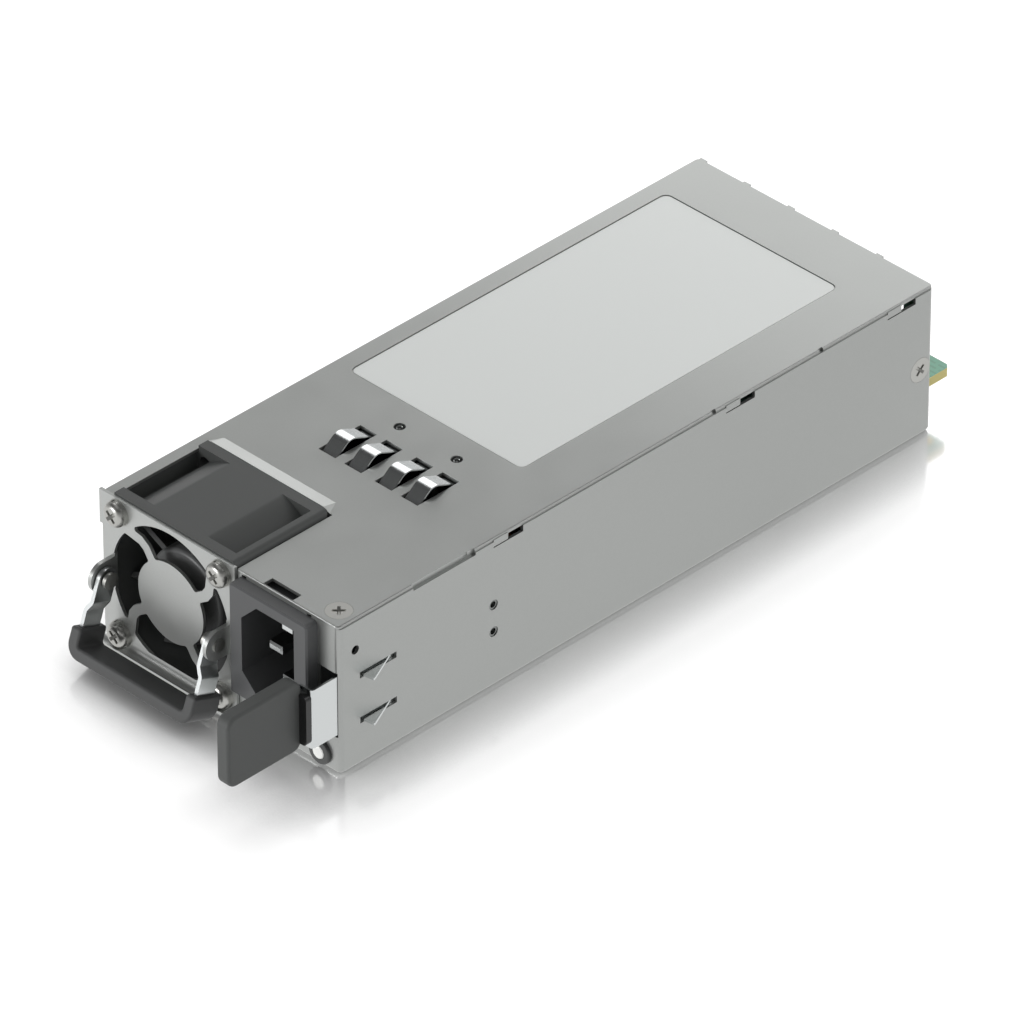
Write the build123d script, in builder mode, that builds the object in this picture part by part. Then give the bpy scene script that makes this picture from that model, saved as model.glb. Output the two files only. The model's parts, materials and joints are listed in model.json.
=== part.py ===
"""Hot swap server power supply: a slim sheet steel module with a fan, an inlet, a bail handle,
a sprung release latch and a card edge that plugs into the server."""
import math
import os

from build123d import *

os.makedirs("parts", exist_ok=True)

# Case: folded galvanised steel tray with a flat cover
case_width = 73.5
case_length = 185.0
case_height = 39.0
sheet = 0.8
corner_radius = 1.5
bend_radius = 1.2
flange_width = 5.0
cover_inset = 0.3
thin_gap = 0.1
moving_gap = 0.3

# Fan: 40 mm square, 28 mm deep, a little taller than the case, in its front left corner
fan_proud = 1.0
fan_size = case_height + fan_proud
fan_depth = 28.0
fan_side_gap = 2.0
fan_floor = 0.1
fan_clearance = 0.4
fan_bore = fan_size - 2.0
fan_screw_spacing = 0.8 * fan_size
fan_screw_hole = 3.4
fan_flange = 2.8
fan_pocket_depth = 6.5
fan_pocket_inner = 8.0
fan_pocket_left_wall = 1.5
fan_pocket_right_wall = 2.9
fan_corner_cut = 1.5
fan_tube_wall = 0.7
fan_rebate = 2.0
hub_diameter = 0.55 * fan_size
hub_wall = 1.2
hub_from_front = 3.6
hub_length = 19.0
blade_count = 7
blade_thickness = 1.0
blade_tip_gap = 0.6
shaft_diameter = 3.0
bearing_clearance = 0.05
bearing_diameter = 6.0
bearing_length = 3.0
bearing_tube_wall = 0.8
magnet_thickness = 0.9
stator_gap = 0.5
stator_diameter = hub_diameter - 2 * (hub_wall + magnet_thickness + stator_gap)
stator_length = 9.0
motor_base_thickness = 2.5
strut_width = 2.2

# Fan guard: front plate with a disc on four bent arms, two ears and a flared lip
guard_thickness = 0.8
guard_opening = 0.915 * fan_size
guard_disc = 0.51 * fan_size
guard_arm_width = 2.5
guard_top = case_height + 0.6
guard_side_inset = 0.9
guard_ear_height = 8.8
lip_height = 3.3
lip_reach = 2.5

# Fan screws, with a split washer and a flat washer each
screw_head = 6.0
screw_head_height = 1.5
screw_shank = 3.3
screw_length = 4.2
lock_washer_thickness = 0.6
flat_washer_thickness = 0.3
flat_washer_diameter = 6.4

# Handle: a steel bail that turns on two rivets, with a rubber grip
pivot_ahead = 4.2
pivot_height = fan_size / 2
handle_half_width = fan_size / 2 - 1.5
ear_radius = 3.8
ear_thickness = 1.0
arm_thickness = 1.0
arm_width = 5.4
arm_jog = 1.3
handle_rest_angle = 20.0
handle_length = pivot_height - 1.0
grip_leg = 7.2
grip_depth = 8.6
grip_thickness = 3.0
rivet_diameter = 2.4
rivet_head = 4.0
rivet_clearance = 0.05

# Inlet: three-pole appliance inlet turned on its side
front_bay = case_width - fan_side_gap - fan_size
inlet_from_right = 0.5873 * front_bay
inlet_face_width = 0.762 * front_bay
inlet_face_height = 0.7436 * case_height
inlet_top_gap = 1.3
inlet_height = case_height - inlet_top_gap - inlet_face_height / 2
inlet_face_thickness = 3.4
inlet_body_width = inlet_face_width - 4.4
inlet_body_height = inlet_face_height - 2.4
inlet_body_depth = 15.0
socket_width = 0.675 * inlet_face_width
socket_height = 0.807 * inlet_face_height
socket_depth = 16.5
socket_chamfer = 0.29 * socket_width
pin_spacing = socket_height - 9.4
pin_offset = 4.0
pin_width = 4.0
pin_thickness = 2.0
pin_recess = 4.0
pin_tail = 5.0

# Release latch: a spring strip inside the right wall that carries two teeth and a tab
strip_thickness = 0.5
strip_clearance = 0.05
strip_bottom = 10.5
strip_height = 15.3
strip_reach = 7.15
strip_pivot = 41.5
foot_length = 10.0
tooth_from_front = 6.6
tooth_length = 10.0
tooth_reach = 3.1
tooth_thickness = 0.6
tooth_slot_margin = 0.5
tooth_drop = 2.2
tooth_rise = 1.2
tab_step = 3.6
tab_core_offset = 0.5
tab_lift = 0.75
tab_gap = 0.8
tab_edge_radius = 0.8
root_thickness = 1.0
root_margin = 1.2
tab_length = 21.9
tab_height = 18.2
tab_thickness = 3.8
tab_corner = 2.6
latch_rivet_diameter = 2.6
latch_rivet_spacing = 7.1
window_margin = 0.8

# Indicator lamp
lamp_from_right = 5.9
lamp_height = 3.9
lamp_ring = 6.4
lamp_lens = 3.4

# Ground fingers: four springs that stand up through the cover
finger_width = 4.4
finger_slot_gap = 0.4
finger_offset = 0.85
finger_inner = 4.7
finger_outer = 12.75
finger_front = 44.2
finger_crest_from_tip = 4.9
finger_rise = 2.45
finger_crest_radius = 2.2
finger_root = 57.0
finger_thickness = 0.3
ground_strip_length = 8.5
ground_strip_width = 34.0
dimple_diameter = 2.8
dimple_spacing = 17.7
dimple_from_front = 62.2

# Cover features
label_from_left = 5.3
label_from_right = 14.5
label_from_rear = 15.6
label_from_front = 69.6
label_width = case_width - label_from_left - label_from_right
label_length = case_length - label_from_front - label_from_rear
label_recess = 0.3
label_thickness = 0.15
label_margin = 0.25
label_corner = 1.9
cover_slot_offset = 0.4
cover_slot_width = 9.0
cover_slot_length = 2.7
cover_screw_from_right = 4.8
cover_screw_from_front = 4.7
flat_screw_head = 6.2
flat_screw_shank = 3.0
flat_screw_length = 4.0
ramp_length = 3.8
ramp_rise = 0.85
ramp_end_slope = 2.0
hook_shares = (0.276, 0.665, 0.943)
nick_shares = (0.208, 0.6215, 0.805)
nick_size = 1.2
hook_length = 4.4
hook_notch = 9.0
hook_depth = 1.5
seam_slot_length = 18.8
seam_slot_bite = 0.45
seam_slot_from_front = 22.3
rear_tab_pitch = 13.7
rear_tab_width = 2.0
rear_tab_reach = 0.35
rear_tab_shift = 7.5

# Side screws near the rear
side_screw_from_rear = 4.0
side_screw_height = 18.0

# Rear wall
vent_hole = 0.1077 * case_height
vent_web = 1.3
vent_rows = 4
vent_columns = int((case_width - 6.0) / (vent_hole + vent_web))

# Boards
board_thickness = 1.6
standoff_height = 3.0
standoff_diameter = 5.0
insulator_thickness = 0.3
board_from_front = 31.0
board_from_rear = 3.0
board_side_gap = 2.0
board_screw_head = 5.0
card_thickness = 2.3
card_width = case_width - 15.5
card_from_right = 2.6
card_inside = 24.0
card_reach = 8.8
card_bottom = 9.4
contact_thickness = 0.1
contact_length = 7.0

card_notch_width = 2.0
card_notch_length = 7.0

# Power parts inside, by their own sizes
capacitor_diameter = 0.381 * case_width
capacitor_length = 0.243 * case_length
capacitor_from_front = 0.357 * case_length
pfc_choke_diameter = 0.354 * case_width
pfc_choke_height = 12.0
pfc_winding_gap = 3.0
part_from_side = 2.5
emi_choke_diameter = 20.0
emi_choke_height = 10.0
emi_choke_from_left = 5.0
emi_choke_from_front = 6.0
emi_winding_gap = 5.0
winding_thickness = 1.2
transformer_width = 0.449 * case_width
transformer_length = 28.0
transformer_height = 25.0
transformer_from_rear = 0.292 * case_length
core_length = 16.0
core_leg = 5.5
output_capacitor_diameter = 8.0
output_capacitor_height = 14.0
output_capacitor_pitch = 0.129 * case_width
heat_sink_thickness = 3.0
heat_sink_height = 26.0
transistor_width = 10.0
transistor_thickness = 4.5
transistor_height = 15.0
transistor_leg = 4.0
relay_width = 0.2585 * case_width
relay_length = 10.0
relay_height = 16.0
relay_from_edge = 23.0
film_capacitor_from_edge = 12.0
film_capacitor_width = 0.245 * case_width
film_capacitor_length = 6.0
film_capacitor_height = 12.0
fuse_diameter = 5.2
fuse_length = 20.0
fuse_from_edge = 4.0
header_length = 12.0
header_inset = 6.0
header_offset = 3.0
card_part_gap = 6.0
bar_width = 3.5
bar_thickness = 2.0
controller_length = 42.0
controller_height = 22.0
inlet_wire = 2.0
fan_wire = 1.2
lead_start = 11.0
lead_spacing = 1.5
lead_bow = 7.0
plug_offset = 3.0
plug_width = 7.5
plug_length = 4.0
plug_height = 5.0

# Places that follow from the sizes above
left = -case_width / 2
right = case_width / 2
front = -case_length / 2
rear = case_length / 2
wall_top = case_height - sheet
cover_right = right - cover_inset
fan_x = left + fan_side_gap + fan_size / 2
fan_z = fan_floor + fan_size / 2
fan_back = front + fan_depth
fan_bay_right = fan_x + fan_size / 2 + fan_clearance
guard_face = front - guard_thickness
inlet_x = right - inlet_from_right
inlet_face = front - inlet_face_thickness
lamp_x = right - lamp_from_right
strip_outer = right - sheet - strip_clearance
strip_inner = strip_outer - strip_thickness
strip_top = strip_bottom + strip_height
strip_tip = front - strip_reach
strip_pivot_y = front + strip_pivot
board_under = sheet + standoff_height
board_top = board_under + board_thickness
board_front = front + board_from_front
board_rear = rear - board_from_rear
board_left = left + board_side_gap
board_right = right - board_side_gap - sheet
card_right = right - card_from_right
card_left = card_right - card_width
card_top = card_bottom + card_thickness
finger_centre = finger_offset
finger_places = [finger_centre + side * step for side, step in
                 ((-1, finger_outer), (-1, finger_inner), (1, finger_inner), (1, finger_outer))]
hook_places = [front + share * case_length for share in hook_shares]
nick_places = [front + share * case_length for share in nick_shares]
vent_height = (card_top + 1.0 + wall_top) / 2

front_plane = Plane.XZ.offset(-front)
fan_axis = Axis((fan_x, front, fan_z), (0, 1, 0))
fan_screw_spots = [(fan_x + sx * fan_screw_spacing / 2, fan_z + sz * fan_screw_spacing / 2)
                   for sx in (-1, 1) for sz in (-1, 1)]


def cross_recess(width, bar, depth):
    """Phillips recess: two crossed bars that narrow with depth, cut down from Z = 0."""
    with BuildPart() as recess:
        for turn in (45, 135):
            with BuildSketch(Plane.XY.rotated((0, 0, turn))):
                Rectangle(width, bar)
            with BuildSketch(Plane.XY.offset(-depth).rotated((0, 0, turn))):
                Rectangle(width * 0.45, bar * 0.6)
            loft()
    return recess.part


def pan_screw(head, height, shank, length):
    """Pan head screw standing on Z = 0, head up and shank down."""
    with BuildPart() as screw:
        Cylinder(head / 2, height, align=(Align.CENTER, Align.CENTER, Align.MIN))
        fillet(screw.faces().sort_by(Axis.Z)[-1].edges(), height * 0.9)
        Cylinder(shank / 2, length, align=(Align.CENTER, Align.CENTER, Align.MAX))
        with Locations((0, 0, height)):
            add(cross_recess(head * 0.55, head * 0.14, height * 0.7), mode=Mode.SUBTRACT)
    return screw.part


def flat_screw(head, shank, length):
    """Countersunk screw with its flat top at Z = 0."""
    cone = (head - shank) / 2
    with BuildPart() as screw:
        with BuildSketch(Plane.XZ):
            with BuildLine():
                Polyline((0, 0), (head / 2, 0), (head / 2, -0.15), (shank / 2, -0.15 - cone * 0.6),
                         (shank / 2, -length), (0, -length), close=True)
            make_face()
        revolve(axis=Axis.Z)
        add(cross_recess(head * 0.5, head * 0.12, 0.8), mode=Mode.SUBTRACT)
    return screw.part


def flat_screw_seat(head, shank, length):
    """Countersunk hole for flat_screw, with a thin gap all round."""
    cone = (head - shank) / 2
    gap = thin_gap / 2
    with BuildPart() as seat:
        with BuildSketch(Plane.XZ):
            with BuildLine():
                Polyline((0, 1), (head / 2 + gap, 1), (head / 2 + gap, -0.15 - gap),
                         (shank / 2 + gap, -0.15 - gap - cone * 0.6), (shank / 2 + gap, -length),
                         (0, -length), close=True)
            make_face()
        revolve(axis=Axis.Z)
    return seat.part


cover_screw_spot = Location((right - cover_screw_from_right, front + cover_screw_from_front, case_height))
side_screw_spots = [
    Location((right, rear - side_screw_from_rear, side_screw_height), (0, 90, 0)),
    Location((left, rear - side_screw_from_rear, side_screw_height), (0, -90, 0)),
]

# Chassis tray
tooth_heights = [strip_bottom + tooth_rise, strip_top - tooth_drop]
latch_rivet_y = strip_pivot_y + foot_length / 2
latch_rivet_heights = [strip_bottom + strip_height / 2 + side * latch_rivet_spacing / 2 for side in (-1, 1)]
standoff_spots = [(x, y) for x in (board_left + 5, board_right - 5) for y in (board_front + 6, board_rear - 6)]

with BuildPart() as chassis_tray:
    with BuildSketch():
        RectangleRounded(case_width, case_length, corner_radius)
    extrude(amount=wall_top)
    fillet(chassis_tray.faces().sort_by(Axis.Z)[0].edges(), bend_radius)
    with BuildSketch(Plane.XY.offset(sheet)):
        RectangleRounded(case_width - 2 * sheet, case_length - 2 * sheet, corner_radius - sheet)
    extrude(amount=case_height, mode=Mode.SUBTRACT)
    # inward flanges that the cover lies on
    flange_start = fan_back + 5
    with BuildSketch(Plane.XY.offset(wall_top)):
        with Locations((right - sheet, rear - sheet)):
            Rectangle(flange_width, rear - front - 2 * sheet, align=(Align.MAX, Align.MAX))
        with Locations((left + sheet, rear - sheet)):
            Rectangle(flange_width, rear - sheet - flange_start, align=(Align.MIN, Align.MAX))
        with Locations((right - sheet, front + sheet)):
            Rectangle(2 * cover_screw_from_right, 2 * cover_screw_from_front, align=(Align.MAX, Align.MIN))
    extrude(amount=-sheet)
    # fan bay, open at the front, the top and the floor
    with BuildSketch():
        with Locations((fan_x, front - 1)):
            Rectangle(fan_size + 2 * fan_clearance, fan_depth + 1 + fan_clearance,
                      align=(Align.CENTER, Align.MIN))
    extrude(amount=case_height, mode=Mode.SUBTRACT)
    # inlet cut-out, latch window and lamp hole in the front
    with BuildSketch(front_plane):
        with Locations((inlet_x, inlet_height)):
            Rectangle(inlet_body_width + 2 * thin_gap, inlet_body_height + 2 * thin_gap)
        with Locations((right - sheet + 0.05, strip_bottom + strip_height / 2)):
            Rectangle(tab_step + 2.2, strip_height + 2 * window_margin, align=(Align.MAX, Align.CENTER))
        with Locations((lamp_x, lamp_height)):
            Circle(lamp_lens / 2 + 0.6)
        for x in (fan_bay_right + 2.0, inlet_x + inlet_face_width / 2 - 2.6):
            with Locations((x, wall_top)):
                Rectangle(1.4, 2.4)
    extrude(amount=-sheet - 0.4, mode=Mode.SUBTRACT)
    # slots for the latch teeth, rivet holes and a gauge hole in the right wall
    with BuildSketch(Plane.YZ.offset(right - 2 * sheet)):
        for z in tooth_heights:
            with Locations((front + tooth_from_front - tooth_slot_margin, z)):
                Rectangle(tooth_length + 2 * tooth_slot_margin, tooth_thickness + 2 * tooth_slot_margin,
                          align=(Align.MIN, Align.CENTER))
        for z in latch_rivet_heights:
            with Locations((latch_rivet_y, z)):
                Circle(latch_rivet_diameter / 2)
        with Locations((front + 4.8, strip_top + 5.2)):
            Circle(1.1)
    extrude(amount=3 * sheet, mode=Mode.SUBTRACT)
    # notches along the seam of the right wall
    with BuildSketch(Plane.XY.offset(wall_top - hook_depth)):
        for y in hook_places:
            with Locations((right + 1, y)):
                Rectangle(flange_width + sheet + 1.5, hook_notch, align=(Align.MAX, Align.CENTER))
    extrude(amount=hook_depth + 1, mode=Mode.SUBTRACT)
    with BuildSketch(Plane.XY.offset(wall_top - 0.6)):
        with Locations((right + 1, front + seam_slot_from_front)):
            Rectangle(sheet + 1, seam_slot_length, align=(Align.MAX, Align.MIN))
    extrude(amount=1, mode=Mode.SUBTRACT)
    # rear wall: vent pattern and card slot
    with BuildSketch(Plane.XZ.offset(-rear - 1)):
        with Locations((0, vent_height)):
            with HexLocations((vent_hole + vent_web) / 2, vent_columns, vent_rows):
                RegularPolygon(vent_hole / 2, 6, major_radius=False, rotation=30)
        with Locations(((card_left + card_right) / 2, (card_bottom + card_top) / 2)):
            Rectangle(card_width + 1, card_thickness + 2)
    extrude(amount=sheet + 2, mode=Mode.SUBTRACT)
    # screw seats
    with Locations(cover_screw_spot, *side_screw_spots):
        add(flat_screw_seat(flat_screw_head, flat_screw_shank, flat_screw_length), mode=Mode.SUBTRACT)
chassis_tray.part.label = "chassis_tray"
export_step(chassis_tray.part, "parts/chassis_tray.step")

# Top cover
cover_fan_left = fan_x - fan_size / 2 + fan_rebate - fan_clearance
label_x = left + label_from_left + label_width / 2
label_y = front + label_from_front + label_length / 2
dimple_y = front + dimple_from_front
ramp_start = fan_back + fan_clearance
ramp_under = case_height - sheet / 2

# Ramp that leads up to the fan, with sloping ends
with BuildPart() as cover_ramp:
    with BuildSketch(Plane.YZ.offset(fan_x - fan_size / 2 + 0.7)):
        with BuildLine():
            Polyline((ramp_start, ramp_under), (ramp_start, case_height + ramp_rise),
                     (ramp_start + ramp_length, case_height), (ramp_start + ramp_length, ramp_under),
                     close=True)
        make_face()
    extrude(amount=fan_size - 1.1)
    for end in (cover_ramp.faces().sort_by(Axis.X)[0], cover_ramp.faces().sort_by(Axis.X)[-1]):
        chamfer(end.edges().sort_by(Axis.Z)[-1], ramp_rise, ramp_end_slope, reference=end)

with BuildPart() as top_cover:
    with BuildSketch(Plane.XY.offset(wall_top)):
        with Locations(((left + cover_right) / 2 + cover_inset / 2, 0)):
            RectangleRounded(case_width - 2 * cover_inset, case_length, corner_radius - cover_inset)
    extrude(amount=sheet)
    fillet(top_cover.faces().sort_by(Axis.Z)[-1].edges(), sheet * 0.45)
    add(cover_ramp.part)
    # openings: fan, slot over the inlet, ground fingers, rivet dimples
    with BuildSketch(Plane.XY.offset(wall_top - 1)):
        with Locations((cover_fan_left, fan_back + fan_clearance)):
            Rectangle(fan_bay_right - cover_fan_left, fan_depth + 2, align=(Align.MIN, Align.MAX))
        with Locations((inlet_x - cover_slot_offset, front + 0.3)):
            Rectangle(cover_slot_width, cover_slot_length, align=(Align.CENTER, Align.MIN))
        for x in finger_places:
            with Locations((x, front + finger_front - finger_slot_gap)):
                Rectangle(finger_width + 2 * finger_slot_gap, finger_root - finger_front,
                          align=(Align.CENTER, Align.MIN))
        with Locations((finger_centre, dimple_y)):
            with GridLocations(dimple_spacing, 1, 2, 1):
                Circle(dimple_diameter / 2)
        for y in nick_places:
            with Locations((cover_right, y)):
                Rectangle(nick_size, nick_size)
        with Locations((cover_right, front + seam_slot_from_front)):
            Rectangle(2 * seam_slot_bite, seam_slot_length, align=(Align.CENTER, Align.MIN))
    extrude(amount=case_height, mode=Mode.SUBTRACT)
    # shallow recess for the label
    with BuildSketch(Plane.XY.offset(case_height)):
        with Locations((label_x, label_y)):
            RectangleRounded(label_width, label_length, label_corner)
    extrude(amount=-label_recess, mode=Mode.SUBTRACT)
    # hooks that reach down into the notches of the right wall
    with BuildSketch(Plane.XY.offset(case_height - sheet / 2)):
        for y in hook_places:
            with Locations((right - thin_gap, y - hook_notch / 2 + thin_gap)):
                Rectangle(sheet - 2 * thin_gap, hook_length, align=(Align.MAX, Align.MIN))
    extrude(amount=sheet / 2 - hook_depth - sheet + 0.2)
    # small stops that hook over the rear wall
    with BuildSketch(Plane.XY.offset(wall_top + sheet / 2)):
        with Locations((-rear_tab_shift, rear)):
            with GridLocations(rear_tab_pitch, 1, 5, 1):
                Rectangle(rear_tab_width, 2 * rear_tab_reach)
    extrude(amount=sheet / 2)
    with Locations(cover_screw_spot):
        add(flat_screw_seat(flat_screw_head, flat_screw_shank, flat_screw_length), mode=Mode.SUBTRACT)
top_cover.part.label = "top_cover"
export_step(top_cover.part, "parts/top_cover.step")

# Label: thin sheet lying in its recess
with BuildPart() as label:
    with BuildSketch(Plane.XY.offset(case_height - label_recess)):
        with Locations((label_x, label_y)):
            RectangleRounded(label_width - 2 * label_margin, label_length - 2 * label_margin,
                             label_corner - label_margin)
    extrude(amount=label_thickness)
label.part.label = "label"
export_step(label.part, "parts/label.step")

# Fan frame: square housing with a duct, corner pockets, motor base on struts and bearing tube
tube_front = hub_from_front + hub_wall + 3.2
motor_base_front = fan_depth - motor_base_thickness
bearing_tube_radius = bearing_diameter / 2 + bearing_tube_wall
with BuildPart() as fan_frame:
    with BuildSketch(front_plane):
        with Locations((fan_x, fan_z)):
            RectangleRounded(fan_size, fan_size, 1.6)
            Circle(fan_bore / 2, mode=Mode.SUBTRACT)
        for x, z in fan_screw_spots:
            with Locations((x, z)):
                Circle(fan_screw_hole / 2, mode=Mode.SUBTRACT)
    extrude(amount=-fan_depth)
    # cut rear corner next to the cover
    with BuildSketch():
        with Locations((fan_x + fan_size / 2, fan_back)):
            Rectangle(2 * fan_corner_cut, 0.7 * fan_corner_cut, rotation=-45)
    extrude(amount=2 * case_height, mode=Mode.SUBTRACT)
    with BuildSketch(front_plane.offset(-fan_flange)):
        # the pocket floors curve down from the middle towards the side walls
        for side_x, side_wall in ((1, fan_pocket_right_wall), (-1, fan_pocket_left_wall)):
            inner_x = fan_x + side_x * fan_pocket_inner
            outer_x = fan_x + side_x * (fan_size / 2 - side_wall)
            for side_z in (-1, 1):
                edge_z = fan_z + side_z * fan_size / 2
                floor_z = edge_z - side_z * fan_pocket_depth
                with BuildLine():
                    TangentArc((inner_x, edge_z), (outer_x, floor_z), tangent=(side_x, -0.2 * side_z))
                    Polyline((outer_x, floor_z), (outer_x, edge_z + side_z), (inner_x, edge_z + side_z),
                             (inner_x, edge_z))
                make_face()
    extrude(amount=-(fan_depth - 2 * fan_flange), mode=Mode.SUBTRACT)
    with BuildSketch(front_plane):
        with Locations((fan_x - fan_size / 2, wall_top - thin_gap)):
            Rectangle(2 * fan_rebate, fan_size, align=(Align.CENTER, Align.MIN))
    extrude(amount=-fan_depth, mode=Mode.SUBTRACT)
    with BuildSketch(front_plane.offset(-motor_base_front)):
        with Locations((fan_x, fan_z)):
            Circle(hub_diameter / 2)
        for turn in (45, 135, 225, 315):
            with Locations(Location((fan_x, fan_z, 0), turn)):
                Rectangle(fan_bore / 2 + fan_tube_wall / 2, strut_width, align=(Align.MIN, Align.CENTER))
    extrude(amount=-motor_base_thickness)
    with BuildSketch(front_plane.offset(-tube_front)):
        with Locations((fan_x, fan_z)):
            Circle(bearing_tube_radius)
    extrude(amount=-(motor_base_front - tube_front))
    with BuildSketch(front_plane.offset(-tube_front)):
        with Locations((fan_x, fan_z)):
            Circle(bearing_diameter / 2)
    extrude(amount=-(fan_depth - 1 - tube_front), mode=Mode.SUBTRACT)
fan_frame.part.label = "fan_frame"
export_step(fan_frame.part, "parts/fan_frame.step")

# Impeller: cup with curved blades and a boss for the shaft
blade_tip = fan_bore / 2 - blade_tip_gap
blade_root = hub_diameter / 2 - hub_wall * 0.9
with BuildPart() as blades:
    for number in range(blade_count):
        angle = math.radians(number * 360 / blade_count)
        blade_plane = Plane(origin=(fan_x, front, fan_z), x_dir=(0, 1, 0),
                            z_dir=(math.cos(angle), 0, math.sin(angle)))
        with BuildSketch(blade_plane.offset(blade_root)):
            with BuildLine():
                ThreePointArc((hub_from_front + 1, -4.2), (hub_from_front + hub_length * 0.4, 1.2),
                              (hub_from_front + hub_length - 1, 4.2))
            trace(line_width=blade_thickness)
        extrude(amount=fan_bore / 2 - blade_root)
    with Locations((fan_x, front + hub_from_front, fan_z)):
        Cylinder(blade_tip, hub_length, rotation=(-90, 0, 0), align=(Align.CENTER, Align.CENTER, Align.MIN),
                 mode=Mode.INTERSECT)

with BuildPart() as fan_impeller:
    with BuildSketch(front_plane.offset(-hub_from_front)):
        with Locations((fan_x, fan_z)):
            Circle(hub_diameter / 2)
    extrude(amount=-hub_length)
    fillet(fan_impeller.edges().filter_by(GeomType.CIRCLE).sort_by(Axis.Y)[0], 1.0)
    with BuildSketch(front_plane.offset(-(hub_from_front + hub_wall))):
        with Locations((fan_x, fan_z)):
            Circle(hub_diameter / 2 - hub_wall)
    extrude(amount=-hub_length, mode=Mode.SUBTRACT)
    with BuildSketch(front_plane.offset(-(hub_from_front + hub_wall / 2))):
        with Locations((fan_x, fan_z)):
            Circle(shaft_diameter / 2 + 1.2)
    extrude(amount=-(tube_front - hub_from_front - hub_wall / 2 - moving_gap))
    add(blades.part)
    with BuildSketch(front_plane.offset(-(hub_from_front + hub_wall / 2))):
        with Locations((fan_x, fan_z)):
            Circle(shaft_diameter / 2)
    extrude(amount=-hub_length, mode=Mode.SUBTRACT)
fan_impeller.part.label = "fan_impeller"
export_step(fan_impeller.part, "parts/fan_impeller.step")

with BuildPart() as fan_shaft:
    with Locations((fan_x, front + hub_from_front + hub_wall / 2, fan_z)):
        Cylinder(shaft_diameter / 2, fan_depth - hub_from_front - hub_wall / 2 - 1 - moving_gap,
                 rotation=(-90, 0, 0), align=(Align.CENTER, Align.CENTER, Align.MIN))
    chamfer(fan_shaft.edges().filter_by(GeomType.CIRCLE), 0.2)
fan_shaft.part.label = "fan_shaft"
export_step(fan_shaft.part, "parts/fan_shaft.step")

with BuildPart() as fan_magnet:
    with BuildSketch(front_plane.offset(-(hub_from_front + hub_wall + 2))):
        with Locations((fan_x, fan_z)):
            Circle(hub_diameter / 2 - hub_wall)
            Circle(hub_diameter / 2 - hub_wall - magnet_thickness, mode=Mode.SUBTRACT)
    extrude(amount=-(hub_length - hub_wall - 3))
fan_magnet.part.label = "fan_magnet"
export_step(fan_magnet.part, "parts/fan_magnet.step")

# Bearings: one at each end of the tube, in one node
with BuildPart() as fan_bearings:
    for start in (tube_front, fan_depth - 1 - bearing_length):
        with BuildSketch(front_plane.offset(-start)):
            with Locations((fan_x, fan_z)):
                Circle(bearing_diameter / 2)
                Circle(shaft_diameter / 2 + bearing_clearance, mode=Mode.SUBTRACT)
        extrude(amount=-bearing_length)
fan_bearings.part.label = "fan_bearings"
export_step(fan_bearings.part, "parts/fan_bearings.step")

with BuildPart() as fan_stator:
    with BuildSketch(front_plane.offset(-(tube_front + 2))):
        with Locations((fan_x, fan_z)):
            Circle(stator_diameter / 2)
            Circle(bearing_tube_radius, mode=Mode.SUBTRACT)
            with PolarLocations((stator_diameter / 2 + bearing_tube_radius) / 2, 4, 45):
                Circle(1.6, mode=Mode.SUBTRACT)
            with PolarLocations(stator_diameter / 2, 4, 45):
                Rectangle(stator_diameter / 4, 0.9, mode=Mode.SUBTRACT)
    extrude(amount=-stator_length)
fan_stator.part.label = "fan_stator"
export_step(fan_stator.part, "parts/fan_stator.step")

with BuildPart() as fan_circuit_board:
    with BuildSketch(front_plane.offset(-motor_base_front)):
        with Locations((fan_x, fan_z)):
            Circle(hub_diameter / 2 - hub_wall)
            Circle(bearing_tube_radius, mode=Mode.SUBTRACT)
    extrude(amount=0.8)
fan_circuit_board.part.label = "fan_circuit_board"
export_step(fan_circuit_board.part, "parts/fan_circuit_board.step")

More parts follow.
